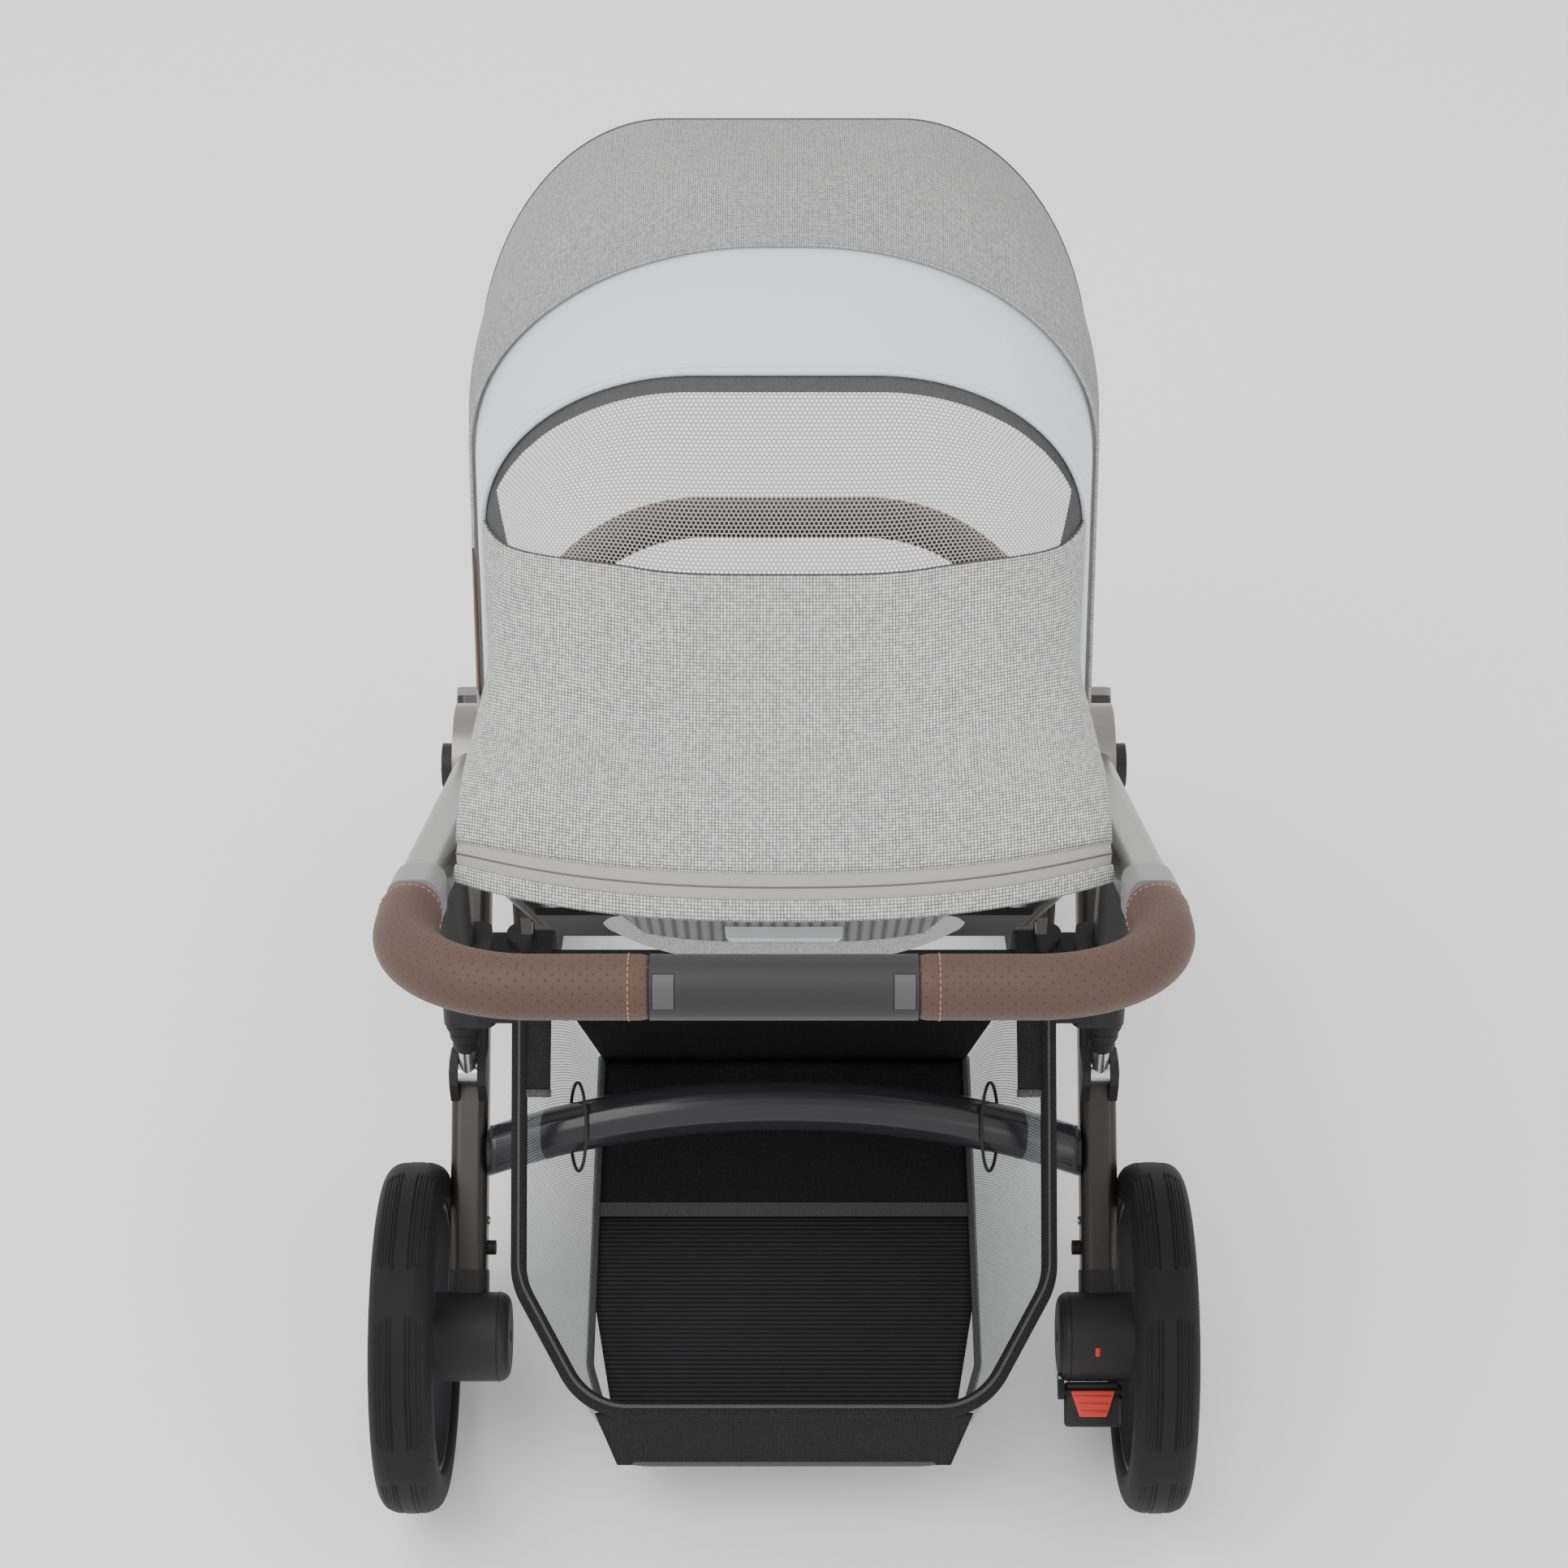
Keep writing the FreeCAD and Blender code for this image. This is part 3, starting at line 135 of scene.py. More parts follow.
class Shade:
    """A principled material and the few nodes that the looks use."""

    def __init__(self, name, color, rough=0.5, metal=0.0, **more):
        self.m = bpy.data.materials.new(name)
        self.m.use_nodes = True
        self.t = self.m.node_tree
        self.p = self.t.nodes["Principled BSDF"]
        self.p.inputs["Base Color"].default_value = (*color, 1)
        self.p.inputs["Roughness"].default_value = rough
        self.p.inputs["Metallic"].default_value = metal
        for key, value in more.items():
            self.p.inputs[key.replace("_", " ")].default_value = value
        self.m.diffuse_color = (*color, 1)

    def uv(self):
        node = self.t.nodes.new("ShaderNodeUVMap")
        node.uv_map = "UVMap"
        split = self.t.nodes.new("ShaderNodeSeparateXYZ")
        self.t.links.new(node.outputs[0], split.inputs[0])
        return Val(self.t, split.outputs[0]), Val(self.t, split.outputs[1])

    def place(self):
        node = self.t.nodes.new("ShaderNodeTexCoord")
        split = self.t.nodes.new("ShaderNodeSeparateXYZ")
        self.t.links.new(node.outputs["Object"], split.inputs[0])
        return [Val(self.t, split.outputs[k]) for k in range(3)]

    def noise(self, scale, detail=2.0, vector=None):
        node = self.t.nodes.new("ShaderNodeTexNoise")
        node.inputs["Scale"].default_value = scale
        node.inputs["Detail"].default_value = detail
        if vector is None:
            co = self.t.nodes.new("ShaderNodeTexCoord")
            self.t.links.new(co.outputs["Object"], node.inputs["Vector"])
        else:
            self.t.links.new(vector, node.inputs["Vector"])
        return Val(self.t, node.outputs[0])

    def cells(self, a, b):
        """A random value for each whole-number pair."""
        join = self.t.nodes.new("ShaderNodeCombineXYZ")
        self.t.links.new(a.socket, join.inputs[0])
        self.t.links.new(b.socket, join.inputs[1])
        node = self.t.nodes.new("ShaderNodeTexWhiteNoise")
        node.noise_dimensions = "2D"
        self.t.links.new(join.outputs[0], node.inputs["Vector"])
        return Val(self.t, node.outputs["Value"])

    def color(self, low, high, value):
        node = self.t.nodes.new("ShaderNodeMix")
        node.data_type = "RGBA"
        node.inputs[6].default_value = (*low, 1)
        node.inputs[7].default_value = (*high, 1)
        self.t.links.new(value.socket, node.inputs[0])
        self.t.links.new(node.outputs[2], self.p.inputs["Base Color"])
        return self

    def bump(self, height, depth, strength=1.0):
        node = self.t.nodes.new("ShaderNodeBump")
        node.inputs["Distance"].default_value = depth
        node.inputs["Strength"].default_value = strength
        self.t.links.new(height.socket, node.inputs["Height"])
        self.t.links.new(node.outputs[0], self.p.inputs["Normal"])
        return self

    def alpha(self, value):
        self.t.links.new(value.socket, self.p.inputs["Alpha"])
        return self

    def rough(self, value):
        self.t.links.new(value.socket, self.p.inputs["Roughness"])
        return self


def weave(name, light, dark, pitch, depth=0.0004, spread=0.35, rough=0.92):
    """Plain weave: floats of yarn over and under each other, each its own shade."""
    s = Shade(name, light, rough)
    u, v = s.uv()
    u = u / pitch
    v = v / pitch
    cu, cv = u.floor(), v.floor()
    turn = ((cu + cv) * 0.5).frac() * 2.0                      # 0 or 1
    a = (u.frac() - 0.5).abs() * 2.0
    b = (v.frac() - 0.5).abs() * 2.0
    across = a * turn + b * (turn * -1.0 + 1.0)                # 0 in the yarn's middle
    length = b * turn + a * (turn * -1.0 + 1.0)
    hill = (across * across * -1.0 + 1.0) * (length * length * -0.55 + 1.0)
    fibre = s.noise(1800.0, 2.0)
    shade = s.cells(cu, cv)
    tone = (hill * 1.15 - 0.12 + (shade - 0.5) * spread + (fibre - 0.5) * 0.3).clamp()
    s.color(dark, light, tone)
    s.bump(hill + (fibre - 0.5) * 0.25, depth)
    return s.m


def netting(name, color, pitch, hole, rough=0.8):
    """Open net: round holes in staggered rows."""
    s = Shade(name, color, rough)
    u, v = s.uv()
    v = v / (pitch * 0.866)
    shift = (v.floor() * 0.5).frac()
    u = u / pitch + shift
    a = u.frac() - 0.5
    b = (v.frac() - 0.5) * 0.866
    far = (a * a + b * b).op("SQRT")
    solid = ((far - hole) * 12.0).clamp()
    s.alpha(solid)
    s.bump(solid, 0.0003)
    return s.m


def ribbed(name, low, high, pitch, depth, axis=0, rough=0.8):
    s = Shade(name, high, rough)
    w = s.uv()[axis] / pitch
    hill = (w.frac() - 0.5).abs() * -2.0 + 1.0
    hill = (hill * 1.8).clamp()
    s.color(low, high, hill)
    s.bump(hill, depth)
    return s.m


def grained(name, color, rough=0.55, scale=900.0, depth=0.00008, metal=0.0, **more):
    s = Shade(name, color, rough, metal, **more)
    s.bump(s.noise(scale, 3.0), depth)
    return s.m


def leather(name, color, pitch):
    """Fine grain with small round dimples in staggered rows."""
    s = Shade(name, color, 0.55)
    u, v = s.uv()
    u = u / pitch
    v = v / (pitch * 0.5)
    a = (u + (v.floor() * 0.5).frac()).frac() - 0.5
    b = (v.frac() - 0.5) * 0.5
    far = (a * a + b * b).op("SQRT")
    dimple = ((far - 0.045) * 16.0).clamp()
    grain = s.noise(1300.0, 3.0)
    s.color(tuple(0.8 * c for c in color), color, dimple)
    s.bump(dimple + grain * 0.35, 0.00035)
    return s.m


MAT = {
    "frame": grained("frame_metal", (0.045, 0.041, 0.039), 0.34, 2600.0, 0.00003, 0.75),
    # arm metal: the frame's dark gunmetal painted lighter, a lit copy of it that stands in for the highlights
    # the lamps put on the arms
    "arm": grained("arm_metal_painted_highlight", (0.22, 0.215, 0.21), 0.3, 2600.0, 0.00003, 0.8),
    "black": grained("black_plastic", (0.014, 0.014, 0.015), 0.5),
    "dark": grained("dark_plastic", (0.024, 0.024, 0.025), 0.5),
    "centre": grained("centre_plastic", (0.028, 0.028, 0.029), 0.5),
    "button": grained("button_plastic", (0.075, 0.075, 0.077), 0.42),
    "grey": grained("grey_plastic", (0.19, 0.19, 0.19), 0.45),
    "pale": grained("pale_plastic", (0.50, 0.51, 0.52), 0.42),
    "gloss": grained("gloss_black", (0.022, 0.022, 0.024), 0.2, 60.0, 0.00002),
    "steel": Shade("steel", (0.55, 0.55, 0.56), 0.28, 1.0).m,
    "tyre": grained("tyre_rubber", (0.015, 0.015, 0.0155), 0.6, 1500.0, 0.00006),
    "boot": grained("boot_rubber", (0.02, 0.02, 0.021), 0.6),
    "rim": grained("rim_plastic", (0.028, 0.028, 0.030), 0.42),
    "leather": leather("leather", (0.085, 0.050, 0.039), 0.0078),
    "thread": grained("thread", (0.42, 0.20, 0.115), 0.6),
    "weave": weave("grey_weave", (0.66, 0.66, 0.65), (0.10, 0.10, 0.10), 0.0021),
    "weave_hood": weave("grey_weave_hood", (0.47, 0.47, 0.465), (0.10, 0.10, 0.10), 0.0015, 0.0003),
    "satin": Shade("pale_satin", (0.63, 0.65, 0.68), 0.42, Sheen_Weight=0.3).m,
    "net": netting("window_net", (0.30, 0.30, 0.30), 0.0030, 0.33),
    "basket_net": netting("basket_net", (0.34, 0.35, 0.36), 0.0024, 0.34),
    "binding": weave("dark_binding", (0.11, 0.11, 0.112), (0.05, 0.05, 0.05), 0.0009, 0.0002),
    "black_weave": weave("black_weave", (0.030, 0.030, 0.031), (0.010, 0.010, 0.010), 0.0016, 0.0003),
    "black_rib": ribbed("black_rib", (0.008, 0.008, 0.008), (0.030, 0.030, 0.032), 0.0042, 0.0005, 1),
    "dark_rib": ribbed("dark_rib", (0.04, 0.04, 0.04), (0.12, 0.12, 0.12), 0.008, 0.0018),
    "tape": grained("zip_tape", (0.33, 0.325, 0.31), 0.8, 2200.0, 0.0001),
    "zip": grained("zip_line", (0.10, 0.10, 0.10), 0.6),
    "red": grained("red_plastic", (0.62, 0.035, 0.02), 0.4),
    "webbing": ribbed("webbing", (0.012, 0.012, 0.012), (0.045, 0.045, 0.047), 0.0016, 0.0003, 1),
}
# how strongly each dark material reflects its surroundings
DULL = {"black": 0.18, "dark": 0.2, "centre": 0.25, "gloss": 0.35, "tyre": 0.1, "boot": 0.15,
        "rim": 0.2, "leather": 0.2, "black_weave": 0.1,
        "black_rib": 0.1, "binding": 0.15, "webbing": 0.15, "button": 0.25}
for key, level in DULL.items():
    MAT[key].node_tree.nodes["Principled BSDF"].inputs["Specular IOR Level"].default_value = level


# ---- mesh helpers ------------------------------------------------------------------------------------
def mesh_object(name, verts, faces, material, uvs=None, smooth=True):
    mesh = bpy.data.meshes.new(name)
    mesh.from_pydata([tuple(v) for v in verts], [], faces)
    if uvs is not None:
        layer = mesh.uv_layers.new(name="UVMap")
        for loop in mesh.loops:
            layer.data[loop.index].uv = uvs[loop.vertex_index]
    for poly in mesh.polygons:
        poly.use_smooth = smooth
    obj = bpy.data.objects.new(name, mesh)
    bpy.context.scene.collection.objects.link(obj)
    mesh.materials.append(MAT[material])
    return obj


def grid(name, rows, cols, point, material):
    """A surface: point(i, j) for i in rows, j in cols. UVs in metres measured on the surface."""
    pts = [[point(i / (rows - 1), j / (cols - 1)) for j in range(cols)] for i in range(rows)]
    verts = [p for row in pts for p in row]
    faces = []
    for i in range(rows - 1):
        for j in range(cols - 1):
            a = i * cols + j
            faces.append((a, a + 1, a + cols + 1, a + cols))
    centre = cols // 2
    uvs = []
    run = [0.0] * rows
    for i in range(1, rows):
        run[i] = run[i - 1] + (pts[i][centre] - pts[i - 1][centre]).length
    for i in range(rows):
        reach = [0.0] * cols
        for j in range(centre + 1, cols):
            reach[j] = reach[j - 1] + (pts[i][j] - pts[i][j - 1]).length
        for j in range(centre - 1, -1, -1):
            reach[j] = reach[j + 1] - (pts[i][j] - pts[i][j + 1]).length
        uvs += [(reach[j], run[i]) for j in range(cols)]
    return mesh_object(name, verts, faces, material, uvs)


def solidify(obj, thickness, offset=-1.0):
    mod = obj.modifiers.new("thick", "SOLIDIFY")
    mod.thickness = thickness
    mod.offset = offset
    return obj


def tube(name, points, radius, material, ring=20, closed=False, squash=None):
    """A tube along points with its length and girth as UVs. radius may be a function of the share t.
    squash = (wide, flat, normal) makes a flat band."""
    n = len(points)
    verts, uvs, faces = [], [], []
    run = 0.0
    side = None
    for i, p in enumerate(points):
        before = points[(i - 1) % n] if closed or i else points[0]
        after = points[(i + 1) % n] if closed or i < n - 1 else points[-1]
        way = (after - before).normalized()
        if side is None:
            ref = squash[2] if squash else (Vector((0, 0, 1)) if abs(way.z) < 0.9 else Vector((1, 0, 0)))
            side = (ref - way * ref.dot(way)).normalized()
        else:
            if squash:
                side = (squash[2] - way * squash[2].dot(way)).normalized()
            else:
                side = (side - way * side.dot(way)).normalized()
            run += (p - points[i - 1]).length
        other = way.cross(side)
        t = i / (n - 1)
        r = radius(t) if callable(radius) else radius
        for k in range(ring + 1):
            a = 2 * math.pi * k / ring
            if squash:
                off = side * (squash[1] * math.cos(a)) + other * (squash[0] * math.sin(a))
            else:
                off = side * (r * math.cos(a)) + other * (r * math.sin(a))
            verts.append(p + off)
            uvs.append((run, (r if not squash else squash[0]) * a))
    for i in range(n - 1 if not closed else n):
        for k in range(ring):
            a = i * (ring + 1) + k
            b = ((i + 1) % n) * (ring + 1) + k
            faces.append((a, a + 1, b + 1, b))
    if not closed:
        faces.append(tuple(range(ring, 0, -1)))
        faces.append(tuple((n - 1) * (ring + 1) + k for k in range(ring)))
    return mesh_object(name, verts, faces, material, uvs)


def rounded_line(corners, radius, steps=10):
    """Points along straight runs joined by arcs."""
    out = [corners[0]]
    for before, corner, after in zip(corners, corners[1:], corners[2:]):
        u = (before - corner).normalized()
        v = (after - corner).normalized()
        half = u.angle(v) / 2
        trim = min(radius / math.tan(half), (before - corner).length * 0.99, (after - corner).length * 0.99)
        r = trim * math.tan(half)
        centre = corner + (u + v).normalized() * (r / math.sin(half))
        start, end = corner + u * trim - centre, corner + v * trim - centre
        sweep = start.angle(end)
        axis = start.cross(end).normalized()
        for k in range(steps + 1):
            out.append(centre + Matrix.Rotation(sweep * k / steps, 3, axis) @ start)
    out.append(corners[-1])
    return out


def resample(points, step):
    out, carry = [points[0]], 0.0
    for a, b in zip(points, points[1:]):
        length = (b - a).length
        d = step - carry
        while d < length:
            out.append(a.lerp(b, d / length))
            d += step
        carry = length - (d - step)
    if (out[-1] - points[-1]).length > step * 0.3:
        out.append(points[-1])
    return out


def rounded_box(name, size, radius, material, matrix):
    bm = bmesh.new()
    bmesh.ops.create_cube(bm, size=1.0)
    bmesh.ops.scale(bm, vec=size, verts=bm.verts)
    if radius > 0:
        bmesh.ops.bevel(bm, geom=bm.edges, offset=radius, segments=4, profile=0.5, affect="EDGES")
    bmesh.ops.transform(bm, matrix=matrix, verts=bm.verts)
    mesh = bpy.data.meshes.new(name)
    bm.to_mesh(mesh)
    bm.free()
    for poly in mesh.polygons:
        poly.use_smooth = True
    obj = bpy.data.objects.new(name, mesh)
    bpy.context.scene.collection.objects.link(obj)
    mesh.materials.append(MAT[material])
    return obj


def side_place(x, point, angle):
    """Axes: local Y runs along the side-view direction, local Z is square to it."""
    return Matrix.Translation(at(x, *point)) @ Matrix.Rotation(math.radians(angle), 4, "X")


def joined(name, objects):
    """One object out of several that share a body."""
    bpy.ops.object.select_all(action="DESELECT")
    for o in objects:
        o.select_set(True)
    bpy.context.view_layer.objects.active = objects[0]
    bpy.ops.object.join()
    objects[0].name = name
    return objects[0]


def paint(node, material, bevel=0.0):
    obj = NODES[node]
    obj.data.materials.clear()
    obj.data.materials.append(MAT[material])
    if bevel > 0:
        mod = obj.modifiers.new("edge", "BEVEL")
        mod.width = bevel
        mod.segments = 2
        mod.limit_method = "ANGLE"
        mod.angle_limit = math.radians(40)
    return obj


# ---- CAD pieces that show ----------------------------------------------------------------------------
for side in ("left", "right"):
    paint("front_leg_" + side, "frame")
    paint("rear_leg_" + side, "frame")
    # the arms get the lighter, lit copy of the frame metal: a painted highlight
    paint("arm_" + side, "arm")
    paint("fork_" + side, "black", 0.0015)
    paint("strut_" + side, "dark")
    paint("axle_housing_" + side, "dark")
    paint("rear_rim_" + side, "rim", 0.001)
    paint("front_rim_" + side, "rim", 0.001)
    paint("swivel_lock_" + side, "grey")
    paint("seat_release_" + side, "grey", 0.001)
    paint("handle_button_" + side, "button", 0.0006)
for node, look in (("caster_sockets", "black"), ("arm_collars", "grey"), ("hub_pins", "steel"),
                   ("leg_caps", "grey"), ("rear_axles", "steel"), ("clevises", "dark"),
                   ("leg_bolts", "steel"), ("leg_knobs", "black"), ("strut_boots", "boot"),
                   ("strut_rods", "steel"), ("strut_pins", "steel"), ("basket_brackets", "dark"),
                   ("seat_mounts", "black"), ("front_crossbar", "gloss"), ("handle_bar", "dark"),
                   ("handle_centre", "centre"), ("brake_mount", "black"), ("seat_frame", "frame"),
                   ("back_frame", "frame"), ("recline_handle", "pale")):
    paint(node, look)

# ---- handle ------------------------------------------------------------------------------------------
HUB = (200.0, 631.0)
ARM_ANGLE = 139.8
KNEE = along(HUB, ARM_ANGLE, 504.0)
HANDLE = along(KNEE, 150.0, 101.0)
GRIP_LOW = along(HUB, ARM_ANGLE, 487.0)
ARM_X = 224.0
GRIP_R = 0.019


def grip(name, sign):
    corners = [at(sign * 76.5, *HANDLE), at(sign * ARM_X, *HANDLE), at(sign * ARM_X, *KNEE),
               at(sign * ARM_X, *GRIP_LOW)]
    line = resample(rounded_line(corners, 0.0808, 24), 0.003)
    wall = tube(name, line, lambda t: GRIP_R - 0.0012 * max(0.0, 1 - min(t, 1 - t) * len(line) / 1.5),
                "leather", 48)
    pieces = [wall]
    total = len(line)
    for k in (4, total - 5):
        p, way = line[k], (line[k + 1] - line[k - 1]).normalized()
        side = way.orthogonal().normalized()
        for n in range(30):
            a = 2 * math.pi * n / 30
            out = Matrix.Rotation(a, 3, way) @ side
            across = way.cross(out)
            c = p + out * (GRIP_R + 0.0001)
            ends = [c - across * 0.0013, c, c + across * 0.0013]
            pieces.append(tube("stitch", ends, 0.00042, "thread", 6))
    return joined(name, pieces)


for side, sign in (("left", -1), ("right", 1)):
    g = grip("leather_grip_" + side, sign)
    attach(g, "handle")
    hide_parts("grip_" + side)

# ---- wheels ------------------------------------------------------------------------------------------
def treaded_tyre(name, x, axle, radius, inner, width, shoulder, blocks):
    """Tyre with rounded shoulders, and fields of five grooves on both sides of a smooth middle band."""
    half = width / 2
    profile = []
    bottom = inner + 0.5
    profile.append((-half + 4, bottom))
    profile.append((-half + 0.5, bottom + 3))
    reach = radius - shoulder
    for k in range(31):
        a = math.radians(180 - 90 * k / 30)
        profile.append((-half + shoulder + shoulder * math.cos(a), reach + shoulder * math.sin(a)))
    flat = half - shoulder
    for k in range(1, 60):
        profile.append((-flat + 2 * flat * k / 60, radius))
    for k in range(31):
        a = math.radians(90 - 90 * k / 30)
        profile.append((half - shoulder + shoulder * math.cos(a), reach + shoulder * math.sin(a)))
    profile.append((half - 0.5, bottom + 3))
    profile.append((half - 4, bottom))
    turns = 360
    verts, faces = [], []
    cols = len(profile)
    for i in range(turns):
        a = 2 * math.pi * i / turns
        share = (i / turns * blocks + 0.27) % 1.0
        for j, (u, r) in enumerate(profile):
            d = abs(u) / half
            drop = 0.0
            if 0.2 < d < 0.76:
                field = (d - 0.2) / 0.56
                start = 0.13 + 0.03 * field
                end = 0.87 - 0.05 * field
                if start < share < end:
                    ripple = (field * 5.5) % 1.0
                    drop = 1.5 if field < 0.08 or 0.45 < ripple < 0.85 else 0.35
            elif 0.84 < d < 0.97:
                drop = 0.5 if i % 3 == 0 else 0.0
            rr = r - drop
            verts.append(at(x + u, axle[0] + rr * math.sin(a), axle[1] + rr * math.cos(a)))
    for i in range(turns):
        for j in range(cols):
            a = i * cols + j
            b = ((i + 1) % turns) * cols + j
            a2 = i * cols + (j + 1) % cols
            b2 = ((i + 1) % turns) * cols + (j + 1) % cols
            faces.append((a, a2, b2, b))
    return mesh_object(name, verts, faces, "tyre")


for side, sign in (("left", -1), ("right", 1)):
    rear = treaded_tyre("rear_tread_" + side, sign * 298.6, (0, 141), 141, 109, 50, 16, 6)
    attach(rear, "rear_wheel_" + side)
    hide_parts("rear_tyre_" + side)
    front = treaded_tyre("front_tread_" + side, sign * ARM_X, (528, 101), 101, 74, 38, 13, 6)
    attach(front, "front_wheel_" + side)
    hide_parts("front_tyre_" + side)

# ---- rear crossbar: oval tube with two ridges --------------------------------------------------------
def crossbar():
    start, crown = (131.0, 214.0), (131.0 + 45 * 0.35, 259.0)
    rise = math.hypot(crown[0] - start[0], crown[1] - start[1])
    half = 242.5
    radius = (half * half + rise * rise) / (2 * rise)
    lean = angle_of(start, crown)
    verts, faces = [], []
    ring, rows = 48, 61
    for i in range(rows):
        x = lerp(-half, half, i / (rows - 1))
        lift = rise - (radius - math.sqrt(radius * radius - x * x))
        centre = along(start, lean, lift)
        for k in range(ring):
            a = 2 * math.pi * k / ring
            r = 20.6
            for ridge in (1.75, 2.75):
                d = abs(a - ridge)
                r += 1.2 * math.exp(-(d / 0.13) ** 2)
            verts.append(at(x, centre[0] + r * math.cos(a), centre[1] + r * math.sin(a)))
    for i in range(rows - 1):
        for k in range(ring):
            a, b = i * ring + k, i * ring + (k + 1) % ring
            faces.append((a, b, b + ring, a + ring))
    faces.append(tuple(range(ring)))
    faces.append(tuple((rows - 1) * ring + k for k in range(ring - 1, -1, -1)))
    return mesh_object("crossbar_tube", verts, faces, "gloss")


bar = crossbar()
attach(bar, "rear_frame")
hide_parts("rear_crossbar")

# ---- bumper bar --------------------------------------------------------------------------------------
paint("bumper_bar", "leather")

# ---- brake pedal and the red mark on the housing -----------------------------------------------------
PEDAL = along((0.0, 141.0), -160, 45)


def pedal():
    pieces = []
    place = side_place(249.5, PEDAL, -150)
    verts, faces = [], []
    outline = [(-18, -1), (18, -1), (11, 20), (-11, 20)]
    for z in (0.0, 8.5):
        verts += [place @ (Vector((u, v, z - 4)) / 1000) for u, v in outline]
    faces = [(3, 2, 1, 0), (4, 5, 6, 7)] + [(k, (k + 1) % 4, 4 + (k + 1) % 4, 4 + k) for k in range(4)]
    body = mesh_object("pedal_pad", verts, faces, "red", None, False)
    mod = body.modifiers.new("edge", "BEVEL")
    mod.width, mod.segments = 0.0012, 2
    bpy.context.view_layer.objects.active = body
    bpy.ops.object.modifier_apply(modifier="edge")
    pieces.append(body)
    for n, reach in enumerate((14.5, 12.5, 10.5)):
        v = 3.5 + 6 * n
        ends = [place @ (Vector((sx * reach, v, -4.3)) / 1000) for sx in (-1, 1)]
        pieces.append(tube("rib", ends, 0.0008, "red", 8))
    pieces.append(rounded_box("pedal_boot", (0.046, 0.036, 0.0085), 0.0035, "dark",
                              place @ Matrix.Translation(Vector((0, 0.010, 0.0042)))))
    return joined("pedal_cover", pieces)


cover = pedal()
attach(cover, "brake")
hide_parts("brake_pedal")

mark_at = at(252.0, *along((0.0, 141.0), 140, 35.6))
a = math.radians(140)
tangent = Vector((0, -math.sin(a), math.cos(a)))
mark = tube("brake_mark", [mark_at - tangent * 0.0035, mark_at + tangent * 0.0035], 0.0022, "red", 16)
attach(mark, "rear_frame")

# ---- canopy ------------------------------------------------------------------------------------------
HINGE = (34.0, 729.0)
CURVE = [(-163, 921), (-97, 946), (-29, 948), (20, 969), (51, 988), (103, 1026),
         (151, 1065), (205, 1090), (259, 1098), (290, 1110), (345, 1095), (398, 1075)]


def polar(point):
    return (math.degrees(math.atan2(point[1] - HINGE[1], point[0] - HINGE[0])),
            math.hypot(point[0] - HINGE[0], point[1] - HINGE[1]))


RADII = sorted(polar(p) for p in CURVE)
FRONT_T, SEAM_T, FLAP_T, HEM_T = RADII[0][0], 59.0, 69.3, RADII[-1][0]
TAPE_T, HEM_BAND_T = 129.4, 133.1
WINDOW_U = 0.5


def hood(theta, u, lift=0.0):
    """Point of the hood on the radial plane at theta; u from -1 to 1 goes over the arch, side to side.
    lift is in mm, outwards."""
    reach = smooth_table(RADII, theta) + lift
    half = smooth_table([(FRONT_T, 204.5), (59, 205.5), (69.5, 199), (84, 195), (105, 204),
                         (125, 208), (HEM_T, 208)], theta) + lift
    flat = smooth_table([(FRONT_T, 80), (52, 52), (59, 12), (69.5, 58), (90, 105), (HEM_T, 150)], theta)
    tall = smooth_table([(FRONT_T, 168), (59, 135), (69.5, 106), (90, 62), (110, 36), (HEM_T, 24)], theta)
    wide = half - flat
    low = 18.0
    drop = reach - tall - low
    arc = math.pi / 2 * math.sqrt((wide * wide + tall * tall) / 2)
    total = flat + arc + drop
    s = abs(u) * total
    if s < flat:
        x, h = s, reach
    elif s < flat + arc:
        a = (s - flat) / arc * math.pi / 2
        x, h = flat + wide * math.sin(a), reach - tall + tall * math.cos(a)
    else:
        x, h = half, reach - tall - (s - flat - arc)
    x = math.copysign(x, u)
    share = min(1.0, abs(x) / 206)
    bow = table([(FRONT_T, 0), (85, 0), (105, 14), (HEM_T, 40)], theta)
    bow = bow * share ** 2.4 * max(0.0, (h - 60) / reach)
    y, z = along(HINGE, theta, h)
    # shallow sag between the hoops, with a broad soft ripple
    sag = 3.0 * math.sin(math.pi * min(1.0, max(0.0, (theta - 92) / 42))) * (1 - share ** 2)
    return at(x, y + bow, z - sag)


def patch(name, theta0, theta1, rows, cols, material, lift=0.0, u0=-1.0, u1=1.0, ripple=None):
    """Hood surface between two edges that are functions of u."""
    def point(i, j):
        u = lerp(u0, u1, j)
        t0 = theta0(u) if callable(theta0) else theta0
        t1 = theta1(u) if callable(theta1) else theta1
        theta = lerp(t0, t1, i)
        extra = ripple(i, u) if ripple else 0.0
        base = lift(i, u) if callable(lift) else lift
        return hood(theta, u, base + extra)
    return grid(name, rows, cols, point, material)


def edge_line(theta, lift, u0=-1.0, u1=1.0, count=160):
    return [hood(theta(u) if callable(theta) else theta, u, lift)
            for u in [lerp(u0, u1, k / count) for k in range(count + 1)]]


def window_low(u):
    """Lower edge of the window."""
    return 69.5 + 14.8 * max(0.0, 1 - (abs(u) / 0.5) ** 4)


def flat_size(obj, rows, cols):
    """Width, length and area of a grid's cloth before it is given thickness, in metres."""
    at_row = [[v.co for v in obj.data.vertices[i * cols:(i + 1) * cols]] for i in range(rows)]
    across = [sum((row[j + 1] - row[j]).length for j in range(cols - 1)) for row in at_row]
    down = [sum((at_row[i + 1][j] - at_row[i][j]).length for i in range(rows - 1)) for j in range(cols)]
    return (max(across), max(down)), sum(f.area for f in obj.data.polygons)


def sewn(obj, rows, cols, with_pieces=()):
    """Work out a panel's flat size and cloth area; the result is not kept."""
    flat, area = flat_size(obj, rows, cols)
    min(area, flat[0] * flat[1])


